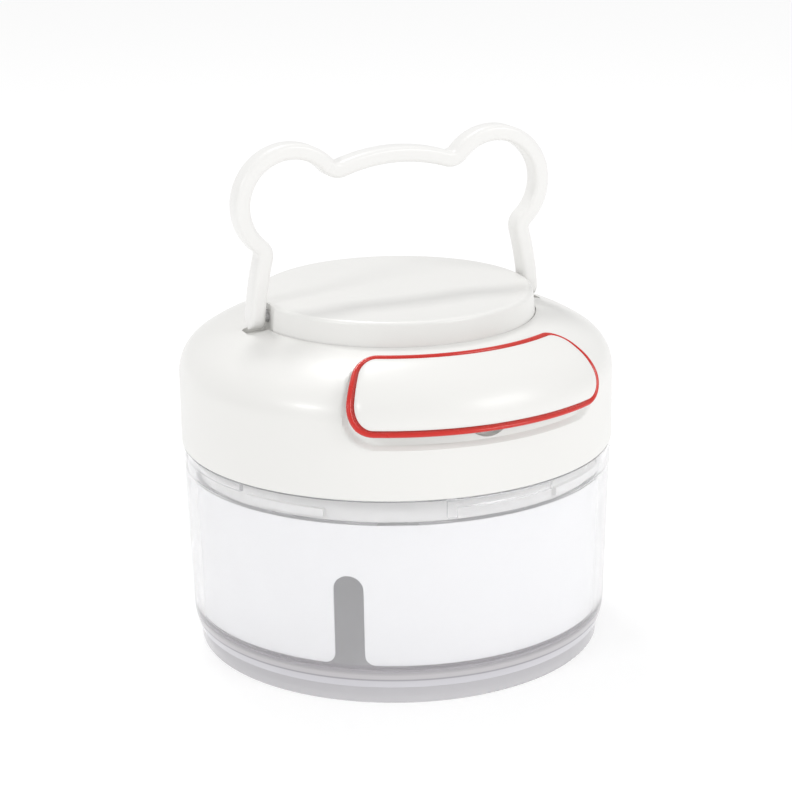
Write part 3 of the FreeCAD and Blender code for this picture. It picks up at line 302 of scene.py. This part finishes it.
def soft_rubber(name, colour, roughness, transmission=0.0):
    """Soft rubber with a fine speck in its colour and gloss; it may let some light through."""
    material, shader = new_material(name)
    tree = material.node_tree
    speck = noise(tree, 420.0, 4.0)
    darker = tuple(channel * 0.95 for channel in colour)
    tree.links.new(blend_colours(tree, speck, darker, colour), shader.inputs["Base Color"])
    tree.links.new(spread(tree, speck, roughness * 0.8, roughness * 1.2), shader.inputs["Roughness"])
    shader.inputs["Transmission Weight"].default_value = transmission
    shader.inputs["IOR"].default_value = 1.45
    add_bump(tree, shader, speck, 0.1, 0.00002)
    if transmission:
        let_lamps_through(tree, shader, colour)
    return material, shader


WHITE = (0.82, 0.815, 0.795)
LINER_WHITE, LINER_THROUGH = (0.92, 0.92, 0.92), (0.5, 0.5, 0.5)
RED = (0.62, 0.035, 0.02)

# Heights in the bowl's thick foot and floor, and the colours between them, which are painted light: a painted
# highlight at the foot, a thin line of painted shade, and painted shade over the floor.
FOOT_TOP, LINE_MIDDLE, LINE_TOP = 0.0053, 0.0056, 0.0059
FLOOR_MIDDLE, WALL_FOOT, WALL_CLEAR = 0.0066, 0.0081, 0.0086
RAMP_HEIGHT = 0.012
FOOT_PAINTED_HIGHLIGHT, LINE_PAINTED_SHADE, FLOOR_PAINTED_SHADE = (0.8, 0.79, 0.83), (0.42, 0.41, 0.44), (0.72, 0.7, 0.72)
FLOOR_CLEARNESS = 0.3


def make_materials():
    """All materials, by the names of the record's slots."""
    made = {}
    made["white_abs"], shader = moulded_plastic("white_abs", WHITE, roughness=0.34)
    shader.inputs["Coat Weight"].default_value = 0.12
    shader.inputs["Coat Roughness"].default_value = 0.15
    made["bail_abs"], _ = moulded_plastic("bail_abs", (0.85, 0.845, 0.83), roughness=0.3)
    made["white_liner"], shader = moulded_plastic("white_liner", LINER_WHITE, roughness=0.35, depth=0.000004)
    let_lamps_through(made["white_liner"].node_tree, shader, LINER_THROUGH)
    made["shaft_plastic"], _ = moulded_plastic("shaft_plastic", (0.82, 0.82, 0.81), roughness=0.35)
    made["mechanism_pom"], _ = moulded_plastic("mechanism_pom", (0.78, 0.78, 0.75), roughness=0.5)
    made["red_plastic"], shader = moulded_plastic("red_plastic", RED, roughness=0.28, tint=0.05)
    shader.inputs["Coat Weight"].default_value = 0.2
    made["clear_bowl"], _ = clear_plastic("clear_bowl", (0.965, 0.965, 0.975), roughness=0.03, ior=1.5,
                                          clearness=0.86)
    made["base_tpe"], _ = soft_rubber("base_tpe", (0.64, 0.63, 0.65), roughness=0.12, transmission=0.25)
    made["seal_silicone"], _ = soft_rubber("seal_silicone", (0.86, 0.86, 0.86), roughness=0.4)
    made["steel"], _ = brushed_metal("steel", (0.56, 0.56, 0.57), roughness=0.28, stretch=(1, 1, 14))
    made["spring_steel"], _ = brushed_metal("spring_steel", (0.45, 0.46, 0.5), roughness=0.35,
                                            stretch=(1, 1, 10))
    made["zinc_screw"], _ = brushed_metal("zinc_screw", (0.66, 0.66, 0.66), roughness=0.35,
                                          stretch=(1, 1, 1))
    made["cord_fabric"], _ = braided_cord("cord_fabric", (0.85, 0.84, 0.82))
    return made


def dress_frame(materials):
    """Gives every CAD node the material of its slot."""
    slots = {part["node"]: part["material_slot"] for part in frame["record"]["subparts"]}
    for name, node in nodes.items():
        node.data.materials.clear()
        node.data.materials.append(materials[slots[name]])


# ---------------------------------------------------------------- meshes

SHARP = 30.0
MERGE_DISTANCE = 1e-7


def make_piece(name, vertices, faces, material, body, sharp=SHARP):
    """A smooth-shaded piece in metres from points in millimetres, which rides on a body."""
    mesh = bpy.data.meshes.new(name)
    mesh.from_pydata([tuple(value * MM for value in vertex) for vertex in vertices], [], faces)
    piece = bpy.data.objects.new(name, mesh)
    bpy.context.scene.collection.objects.link(piece)
    tidy_mesh(mesh)
    mesh.materials.append(materials[material])
    finish_piece(piece, sharp)
    if body:
        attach(piece, body)
    return piece


def tidy_mesh(mesh):
    """Merges doubled points and turns all faces outwards."""
    work = bmesh.new()
    work.from_mesh(mesh)
    bmesh.ops.remove_doubles(work, verts=work.verts, dist=MERGE_DISTANCE)
    bmesh.ops.recalc_face_normals(work, faces=work.faces)
    work.to_mesh(mesh)
    work.free()


def finish_piece(piece, sharp=SHARP):
    """Smooth shading that breaks at edges over an angle in degrees."""
    piece.data.shade_smooth()
    piece.data.set_sharp_from_angle(angle=math.radians(sharp))


def cut(piece, vertices, faces, sharp=SHARP, kind="DIFFERENCE"):
    """Applies an exact boolean with a tool given by its points in millimetres."""
    mesh = bpy.data.meshes.new("tool")
    mesh.from_pydata([tuple(value * MM for value in vertex) for vertex in vertices], [], faces)
    tidy_mesh(mesh)
    tool = bpy.data.objects.new("tool", mesh)
    bpy.context.scene.collection.objects.link(tool)
    change = piece.modifiers.new("cut", "BOOLEAN")
    change.operation = kind
    change.solver = "EXACT"
    change.object = tool
    bpy.context.view_layer.update()
    depsgraph = bpy.context.evaluated_depsgraph_get()
    result = bpy.data.meshes.new_from_object(piece.evaluated_get(depsgraph), depsgraph=depsgraph)
    piece.modifiers.clear()
    piece.data = result
    bpy.data.objects.remove(tool)
    finish_piece(piece, sharp)


def tube(rings):
    """Vertices and faces of a closed solid through rings of equal length, with flat ends."""
    count = len(rings[0])
    vertices = [point for ring in rings for point in ring]
    faces = []
    for row in range(len(rings) - 1):
        for place in range(count):
            after = (place + 1) % count
            faces.append((row * count + place, row * count + after,
                          (row + 1) * count + after, (row + 1) * count + place))
    faces.append(tuple(range(count))[::-1])
    last = (len(rings) - 1) * count
    faces.append(tuple(range(last, last + count)))
    return vertices, faces


def rod(start, end, radius, segments=48):
    """A round rod between two points."""
    start, end = Vector(start), Vector(end)
    turn = (end - start).to_track_quat("Z", "Y")
    rings = []
    for centre in (start, end):
        ring = []
        for step in range(segments):
            angle = 2 * math.pi * step / segments
            ring.append(centre + turn @ Vector((radius * math.cos(angle), radius * math.sin(angle), 0)))
        rings.append(ring)
    return tube(rings)


def upright_slot(low, high, half_depth, bottom, top, corner, steps=8):
    """A vertical block from x = low to high with rounded corners, seen from above."""
    ring = []
    middle, half_width = (low + high) / 2, (high - low) / 2
    for across, along, start in ((1, 1, 0), (-1, 1, 90), (-1, -1, 180), (1, -1, 270)):
        for step in range(steps + 1):
            angle = math.radians(start + 90 * step / steps)
            ring.append((middle + across * (half_width - corner) + corner * math.cos(angle),
                         along * (half_depth - corner) + corner * math.sin(angle)))
    return tube([[(*point, height) for point in ring] for height in (bottom, top)])


# ---------------------------------------------------------------- the dome's outline

# The side is upright. The shoulder and the crown are arcs, given by their centre's radius and height and by
# their own radius, and the crown leaves the shoulder in line with it.
DOME_RADIUS, DOME_FOOT = 45.8, 44.1
SHOULDER = (37.6, 58.9, 8.2)
CROWN = (24.9, 40.18, 30.82)
MEET_ANGLE = math.atan2(SHOULDER[1] - CROWN[1], SHOULDER[0] - CROWN[0])
SIDE_LENGTH = SHOULDER[1] - DOME_FOOT
SHOULDER_LENGTH = SHOULDER[2] * MEET_ANGLE


def dome_at(distance):
    """Radius, height and outward normal at a distance along the dome, up from its foot."""
    if distance <= SIDE_LENGTH:
        return DOME_RADIUS, DOME_FOOT + distance, 1.0, 0.0
    distance -= SIDE_LENGTH
    if distance <= SHOULDER_LENGTH:
        radius, height, bend = SHOULDER
        angle = distance / bend
    else:
        radius, height, bend = CROWN
        angle = MEET_ANGLE + (distance - SHOULDER_LENGTH) / bend
    out, up = math.cos(angle), math.sin(angle)
    return radius + bend * out, height + bend * up, out, up


def crown_distance(degrees):
    """How far up the dome its crown has leaned to an angle from level."""
    return SIDE_LENGTH + SHOULDER_LENGTH + CROWN[2] * (math.radians(degrees) - MEET_ANGLE)


# ---------------------------------------------------------------- the grip's outline and nest

# The outline is laid out flat, across as an arc length at ARC_RADIUS and upwards as a distance on the dome.
ARC_RADIUS = 48.2
GRIP_BEARING, GRIP_LOW_HEIGHT, GRIP_TOP_LEAN = 35.9, 57.7, 69.5
GRIP_HALF = math.radians(GRIP_BEARING) * ARC_RADIUS
GRIP_LOW = GRIP_LOW_HEIGHT - DOME_FOOT
GRIP_TOP = crown_distance(GRIP_TOP_LEAN)
GRIP_MIDDLE, GRIP_RISE = (GRIP_LOW + GRIP_TOP) / 2, (GRIP_TOP - GRIP_LOW) / 2
GRIP_CORNER = 5.6
SIDE_INSET, LOW_INSET, TOP_INSET = 1.6, 1.3, 1.3
NEST_SIDE, NEST_FOOT, NEST_DEPTH = 1.3, 3.2, 1.1
NEST_CORNER = GRIP_CORNER + NEST_SIDE
NEST_EDGE_INSIDE, NEST_EDGE_OUTSIDE = 1.1, 0.15
END_SHARES = (0.85, 0.7, 0.5, 0.3, 0.15, 0.0)


def on_dome(across, distance, gap):
    """The point at an arc length across, a distance up the dome and a gap off it."""
    radius, height, out, up = dome_at(distance)
    bearing = across / ARC_RADIUS
    reach = radius + gap * out
    return reach * math.sin(bearing), -reach * math.cos(bearing), height + gap * up


def grip_outline(straight=64, corner_steps=14, upright=14):
    """Points of the grip's rounded outline with their outward normals, anticlockwise."""
    half, rise, corner = GRIP_HALF, GRIP_RISE, GRIP_CORNER
    points = []
    sides = [(0, -1, half - corner, straight), (1, 0, rise - corner, upright),
             (0, 1, half - corner, straight), (-1, 0, rise - corner, upright)]
    for across, along, reach, steps in sides:
        base = (across * half, along * rise)
        ahead = (-along, across)
        for step in range(steps):
            shift = reach * (2 * (step + 0.5) / steps - 1)
            points.append((base[0] + ahead[0] * shift, base[1] + ahead[1] * shift, across, along))
        centre = (across * (half - corner) + ahead[0] * reach, along * (rise - corner) + ahead[1] * reach)
        start = math.atan2(along, across)
        for step in range(corner_steps + 1):
            angle = start + math.pi / 2 * step / corner_steps
            normal = (math.cos(angle), math.sin(angle))
            points.append((centre[0] + corner * normal[0], centre[1] + corner * normal[1], *normal))
    return points


def grip_ring(outline, share, extra, gap):
    """The outline moved inwards by a share of the local rim width and an extra distance."""
    ring = []
    for across, along, normal_across, normal_along in outline:
        edge = LOW_INSET if normal_along < 0 else TOP_INSET
        inset = share * (SIDE_INSET * normal_across ** 2 + edge * normal_along ** 2) + extra
        ring.append((across - normal_across * inset, along - normal_along * inset, gap))
    return ring


def shrunk_ring(ring, share, gap):
    """A ring drawn in towards its middle line, which it reaches at share 0."""
    reach = max(point[0] for point in ring)
    rise = max(point[1] for point in ring)
    low = min(point[1] for point in ring)
    middle, half = (rise + low) / 2, (rise - low) / 2
    narrow = 1 - (1 - share) * half / reach
    return [(across * narrow, middle + (along - middle) * share, gap) for across, along, _ in ring]


def grip_solid(rings):
    """A solid through rings of (across, along, gap), each end drawn in to its middle line."""
    front = [shrunk_ring(rings[-1], share, rings[-1][0][2]) for share in END_SHARES]
    back = [shrunk_ring(rings[0], share, rings[0][0][2]) for share in END_SHARES[::-1]]
    rows = back + rings + front
    vertices, faces = tube([[on_dome(across, GRIP_MIDDLE + along, gap) for across, along, gap in row]
                            for row in rows])
    return vertices, faces[:-2]


def smooth_step(low, high, value):
    """0 at low and 1 at high, with a soft start and end."""
    share = min(max((value - low) / (high - low), 0.0), 1.0)
    return share * share * (3 - 2 * share)


def nest_depth_at(across, distance):
    """How deep the grip's nest is at a place on the dome; its edge is soft."""
    low = GRIP_LOW - NEST_FOOT + NEST_CORNER
    high = GRIP_TOP + NEST_SIDE - NEST_CORNER
    beyond_across = abs(across) - (GRIP_HALF + NEST_SIDE - NEST_CORNER)
    beyond_along = max(distance - high, low - distance)
    outside = math.hypot(max(beyond_across, 0), max(beyond_along, 0))
    inside = min(max(beyond_across, beyond_along), 0)
    edge = outside + inside - NEST_CORNER
    return NEST_DEPTH * smooth_step(NEST_EDGE_OUTSIDE, -NEST_EDGE_INSIDE, edge)


# ---------------------------------------------------------------- the cord's line

CORD_HEIGHT = 60.8


def outlet_point(reach):
    """A point on the cord's line, at a distance in front of the object's axis."""
    return 0, -reach, CORD_HEIGHT


# ---------------------------------------------------------------- the dome

DOME_WALL = 2.2
FOOT_EDGE, FOOT_EDGE_MIDDLE = 0.25, 0.07
SKIRT_RADIUS, PLATE_HEIGHT = 45.3, 45.3
SEAT_OUTER, SEAT_INNER, SEAT_HEIGHT = 29.7, 27.85, 70.1
ROOF_TOP, ROOF_HOLE = 71.0, 6.0
POCKET_INNER, POCKET_OUTER, POCKET_HALF = 28.3, 33.6, 2.75
POCKET_FLOOR, POCKET_TOP, POCKET_CORNER = 68.9, 73.0, 1.2
BOSS_RADIUS, BOSS_BACK, BOSS_FRONT = 6.2, 37.05, 44.0
RECESS_RADIUS, RECESS_BACK = 5.2, 43.0
BORE_RADIUS, BORE_BACK = 3.36, 36.0
DRILL_FRONT = 50.0


def dome_inside(rows=24):
    """Radius and height of points on the inner face, from the top of the side to the middle."""
    points = []
    for row in range(rows + 1):
        radius, height, out, up = dome_at(SIDE_LENGTH + (crown_distance(90) - SIDE_LENGTH) * row / rows)
        points.append((radius - DOME_WALL * out, height - DOME_WALL * up))
    return points


def make_dome(segments=600, step=0.45, sides=72):
    """The lid's shell, with the nest pressed softly into its front."""
    top = crown_distance(math.degrees(math.acos((SEAT_OUTER - CROWN[0]) / CROWN[2])))
    rows = round(top / step)
    distances = [top * row / rows for row in range(1, rows + 1)]
    foot = [(SKIRT_RADIUS, PLATE_HEIGHT), (SKIRT_RADIUS, DOME_FOOT), (DOME_RADIUS - FOOT_EDGE, DOME_FOOT),
            (DOME_RADIUS - FOOT_EDGE_MIDDLE, DOME_FOOT + FOOT_EDGE_MIDDLE),
            (DOME_RADIUS, DOME_FOOT + FOOT_EDGE)]
    seat = [(SEAT_OUTER, SEAT_HEIGHT), (SEAT_INNER, SEAT_HEIGHT), (SEAT_INNER, ROOF_TOP),
            (ROOF_HOLE, ROOF_TOP)]
    inside = [(ROOF_HOLE, ROOF_TOP - DOME_WALL), *dome_inside()[::-1],
              (DOME_RADIUS - DOME_WALL, PLATE_HEIGHT)]
    rings = []
    for place in range(segments):
        bearing = 2 * math.pi * place / segments
        across = (bearing if bearing < math.pi else bearing - 2 * math.pi) * ARC_RADIUS
        column = list(foot)
        for distance in distances:
            radius, height, out, up = dome_at(distance)
            depth = nest_depth_at(across, distance)
            column.append((radius - depth * out, height - depth * up))
        column += seat + inside
        rings.append([(radius * math.sin(bearing), -radius * math.cos(bearing), height)
                      for radius, height in column])
    count = len(rings[0])
    vertices = [point for ring in rings for point in ring]
    faces = []
    for place in range(segments):
        after = (place + 1) % segments
        for row in range(count):
            above = (row + 1) % count
            faces.append((place * count + row, after * count + row,
                          after * count + above, place * count + above))
    dome = make_piece("dome_shell_fine", vertices, faces, "white_abs", "lid")
    for side in (1, -1):
        low, high = sorted((side * POCKET_INNER, side * POCKET_OUTER))
        cut(dome, *upright_slot(low, high, POCKET_HALF, POCKET_FLOOR, POCKET_TOP, POCKET_CORNER))
    cut(dome, *rod(outlet_point(BOSS_BACK), outlet_point(BOSS_FRONT), BOSS_RADIUS, sides), kind="UNION")
    cut(dome, *rod(outlet_point(RECESS_BACK), outlet_point(DRILL_FRONT), RECESS_RADIUS, sides))
    cut(dome, *rod(outlet_point(BORE_BACK), outlet_point(DRILL_FRONT), BORE_RADIUS, sides))
    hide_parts("dome_shell")


# ---------------------------------------------------------------- the liner

LINER_EDGE, LINER_RISE = 0.2, 0.45


def make_liner():
    """The sleeve, whose top edge comes up close to the skirt of the lid."""
    mesh = nodes["bowl_liner"].data.copy()
    top = max(vertex.co.z for vertex in mesh.vertices)
    for vertex in mesh.vertices:
        if vertex.co.z > top - LINER_EDGE * MM:
            vertex.co.z += LINER_RISE * MM
    liner = bpy.data.objects.new("bowl_liner_fine", mesh)
    bpy.context.scene.collection.objects.link(liner)
    finish_piece(liner)
    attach(liner, "bowl")
    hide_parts("bowl_liner")


# ---------------------------------------------------------------- the grip

GRIP_SHARP = 50.0
RIM_HEIGHT, RIM_RISE, RIM_HALF, RIM_ROUND, RIM_STEPS = 1.55, 0.85, 0.42, 0.8, 9
CORD_HOLE_RADIUS, CORD_HOLE_BACK, CORD_HOLE_FRONT = 1.3, 40.0, 46.0
SCREW_BEARING, SCREW_HEIGHT, SCREW_HOLE_RADIUS = 21.0, 62.0, 2.0
SCREW_HOLE_BACK, SCREW_HOLE_FRONT = 40.0, 45.5

# Rings of the two halves, in the order in which their surface runs: the share of the rim's width that the
# ring lies inside the outline, an extra inset, and the gap off the dome.
TRAY_FOOT = [(0.0, 0.45, -0.6), (0.0, 0.1, -0.5), (0.0, 0.0, -0.25), (0.0, 0.0, RIM_HEIGHT)]
TRAY_LIP = [(0.9, 0.0, 1.62), (0.93, 0.0, 1.45), (0.95, 0.0, 1.32), (1.0, 0.3, 1.3)]
FACE_SIDE = [(1.0, 0.3, 1.32), (1.0, 0.12, 1.4), (1.0, 0.12, 2.0)]
FACE_EDGE = [(1.0, 0.14, 2.2), (1.0, 0.2, 2.38), (1.0, 0.3, 2.52), (1.0, 0.45, 2.66), (1.0, 0.65, 2.78)]
FACE_PILLOW = [(1.0, 0.9, 2.87), (1.0, 1.25, 2.95), (1.0, 1.7, 3.01), (1.0, 2.2, 3.05), (1.0, 2.8, 3.08),
               (1.0, 3.3, 3.1)]


def tray_rim():
    """The rolled rim of the grip's back, which shows as a line all round the face."""
    rim = []
    for step in range(1, RIM_STEPS):
        angle = math.pi * step / RIM_STEPS
        rim.append((RIM_HALF - RIM_HALF * math.cos(angle), 0.0,
                    RIM_HEIGHT + RIM_RISE * math.sin(angle) ** RIM_ROUND))
    return rim


def make_grip_back():
    """The red shell, with the cord's hole and the two screws' holes."""
    outline = grip_outline()
    places = TRAY_FOOT + tray_rim() + TRAY_LIP
    vertices, faces = grip_solid([grip_ring(outline, *place) for place in places])
    back = make_piece("grip_back_fine", vertices, faces, "red_plastic", "grip", GRIP_SHARP)
    cut(back, *rod(outlet_point(CORD_HOLE_BACK), outlet_point(CORD_HOLE_FRONT), CORD_HOLE_RADIUS), GRIP_SHARP)
    for side in (1, -1):
        bearing = math.radians(SCREW_BEARING) * side
        ends = [(reach * math.sin(bearing), -reach * math.cos(bearing), SCREW_HEIGHT)
                for reach in (SCREW_HOLE_BACK, SCREW_HOLE_FRONT)]
        cut(back, *rod(*ends, SCREW_HOLE_RADIUS), GRIP_SHARP)
    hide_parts("grip_back")
    # Soft bounced light leaves the shell out, because its red would colour the white nest too much.
    back.visible_diffuse = False


def make_grip_face():
    """The white plate, which is crowned like a pillow."""
    outline = grip_outline()
    places = FACE_SIDE + FACE_EDGE + FACE_PILLOW
    vertices, faces = grip_solid([grip_ring(outline, *place) for place in places])
    face = make_piece("grip_face_fine", vertices, faces, "white_abs", "grip", GRIP_SHARP)
    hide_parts("grip_face")


# ---------------------------------------------------------------- the bail

# Each half is a bowed leg, a waist, an ear, a valley and half of the bowed top bar, all arcs in line with
# each other. The ear is given by its centre's distance from the middle, its height and its radius.
LEG = dict(reach=31.3, pivot=72.8, centre_height=67.4, bow=70.0)
EAR = (23.0, 95.75, 10.8)
BAR_APEX, BAR_BOW = 103.95, 37.0
WAIST_RADIUS, VALLEY_RADIUS = 2.5, 3.0
BAIL_WIDTH, BAIL_DEPTH, BAIL_EDGE = 3.3, 4.8, 0.95
BAIL_TIP, BAIL_CORNER_SHARE = 0.04, 0.98
BAIL_SHARP = 40.0
FINE_STEP = 0.25
PIN_HOLE_RADIUS, PIN_HOLE_INNER, PIN_HOLE_OUTER = 1.35, 29.0, 32.05


def circle_meeting(first, first_radius, second, second_radius):
    """The crossing of two circles on the right of the line between their centres."""
    line = second - first
    along = (first_radius ** 2 - second_radius ** 2 + line.length_squared) / (2 * line.length)
    across = math.sqrt(first_radius ** 2 - along ** 2)
    unit = line.normalized()
    return first + unit * along + Vector((unit.y, -unit.x)) * across


def arc_run(centre, radius, start, end, turn, step=0.4):
    """Points on an arc, each with its direction of travel; turn is 1 for anticlockwise."""
    first = math.atan2(start.y - centre.y, start.x - centre.x)
    last = math.atan2(end.y - centre.y, end.x - centre.x)
    sweep = (last - first) * turn % (2 * math.pi) * turn
    steps = max(3, round(abs(sweep) * radius / step))
    run = []
    for place in range(steps + 1):
        angle = first + sweep * place / steps
        out = Vector((math.cos(angle), math.sin(angle)))
        run.append((centre + out * radius, Vector((-out.y, out.x)) * turn))
    return run


def bail_centre_line():
    """The right half, from the foot of the leg to the top bar's middle."""
    side = math.sqrt(LEG["bow"] ** 2 - (LEG["pivot"] - LEG["centre_height"]) ** 2)
    leg_centre = Vector((LEG["reach"] - side, LEG["centre_height"]))
    ear_centre, ear = Vector(EAR[:2]), EAR[2]
    bar_centre = Vector((0, BAR_APEX - BAR_BOW))
    waist = circle_meeting(leg_centre, LEG["bow"] + WAIST_RADIUS, ear_centre, ear + WAIST_RADIUS)
    valley = circle_meeting(ear_centre, ear + VALLEY_RADIUS, bar_centre, BAR_BOW + VALLEY_RADIUS)
    foot = Vector((LEG["reach"], LEG["pivot"]))
    leg_end = leg_centre + (waist - leg_centre).normalized() * LEG["bow"]
    ear_start = ear_centre + (waist - ear_centre).normalized() * ear
    ear_end = ear_centre + (valley - ear_centre).normalized() * ear
    bar_start = bar_centre + (valley - bar_centre).normalized() * BAR_BOW
    runs = [
        arc_run(leg_centre, LEG["bow"], foot, leg_end, 1),
        arc_run(waist, WAIST_RADIUS, leg_end, ear_start, -1, FINE_STEP),
        arc_run(ear_centre, ear, ear_start, ear_end, 1),
        arc_run(valley, VALLEY_RADIUS, ear_end, bar_start, -1, FINE_STEP),
        arc_run(bar_centre, BAR_BOW, bar_start, Vector((0, BAR_APEX)), 1),
    ]
    line = runs[0]
    for run in runs[1:]:
        line += run[1:]
    return line


def bail_section(half_depth, steps=6):
    """The rounded section, as distances across the bar and along Y."""
    half_width = BAIL_WIDTH / 2
    corner = min(BAIL_EDGE, half_depth * BAIL_CORNER_SHARE)
    points = []
    for across, along, start in ((1, 1, 0), (-1, 1, 90), (-1, -1, 180), (1, -1, 270)):
        for step in range(steps + 1):
            angle = math.radians(start + 90 * step / steps)
            points.append((across * (half_width - corner) + corner * math.cos(angle),
                           along * (half_depth - corner) + corner * math.sin(angle)))
    return points


def make_bail(end_steps=12):
    """The handle, with round ends to its legs and the blind holes for its pins."""
    line = bail_centre_line()
    half_depth = BAIL_DEPTH / 2
    foot = Vector((LEG["reach"], LEG["pivot"]))
    ends = []
    for step in range(end_steps):
        drop = math.cos(math.pi / 2 * step / end_steps)
        ends.append((foot - Vector((0, half_depth * drop)), Vector((0, 1)),
                     max(half_depth * math.sqrt(1 - drop * drop), BAIL_TIP)))
    rows = ends + [(place, ahead, half_depth) for place, ahead in line]
    rows += [(Vector((-place.x, place.y)), Vector((ahead.x, -ahead.y)), depth)
             for place, ahead, depth in rows[-2::-1]]
    rings = []
    for place, ahead, depth in rows:
        side = Vector((ahead.y, -ahead.x))
        rings.append([(place.x + side.x * across, along, place.y + side.y * across)
                      for across, along in bail_section(depth)])
    bail = make_piece("bail_handle_fine", *tube(rings), "bail_abs", "bail", BAIL_SHARP)
    for side in (1, -1):
        ends = [(side * reach, 0, LEG["pivot"]) for reach in (PIN_HOLE_INNER, PIN_HOLE_OUTER)]
        cut(bail, *rod(*ends, PIN_HOLE_RADIUS), BAIL_SHARP)
    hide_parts("bail_handle")


# ---------------------------------------------------------------- the pulled cord

PULL_CORD_RADIUS, PULL_CORD_START, PULL_CORD_END = 0.97, 40.5, 44.9


def make_pull_cord(rows=60, sides=20):
    """The stretch between the eyelet and the grip, built at rest; the real cord lengthens when the grip is
    pulled.
    """
    rings = []
    for row in range(rows + 1):
        reach = PULL_CORD_START + (PULL_CORD_END - PULL_CORD_START) * row / rows
        ring = []
        for step in range(sides):
            angle = 2 * math.pi * step / sides
            ring.append((PULL_CORD_RADIUS * math.cos(angle), -reach,
                         CORD_HEIGHT + PULL_CORD_RADIUS * math.sin(angle)))
        rings.append(ring)
    cord = make_piece("pull_cord", *tube(rings), "cord_fabric", None)
    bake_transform(cord)


# ---------------------------------------------------------------- the scene

materials = make_materials()
dress_frame(materials)
make_dome()
make_liner()
make_grip_back()
make_grip_face()
make_bail()
make_pull_cord()
make_camera()
make_floor()
make_world(strength=0.7)
make_softbox("overhead", bearing=177, rise=67, distance=0.8, size=(0.15, 0.15), power=1.7)
make_softbox("behind", bearing=-168, rise=47, distance=0.9, size=(0.3, 0.12), power=0.2)
make_softbox("left", bearing=-72, rise=27, distance=0.9, size=(0.2, 0.08), power=1.3)
make_softbox("front", bearing=30, rise=24, distance=0.9, size=(0.4, 0.3), power=2.0)
bpy.context.scene.view_settings.view_transform = "Standard"
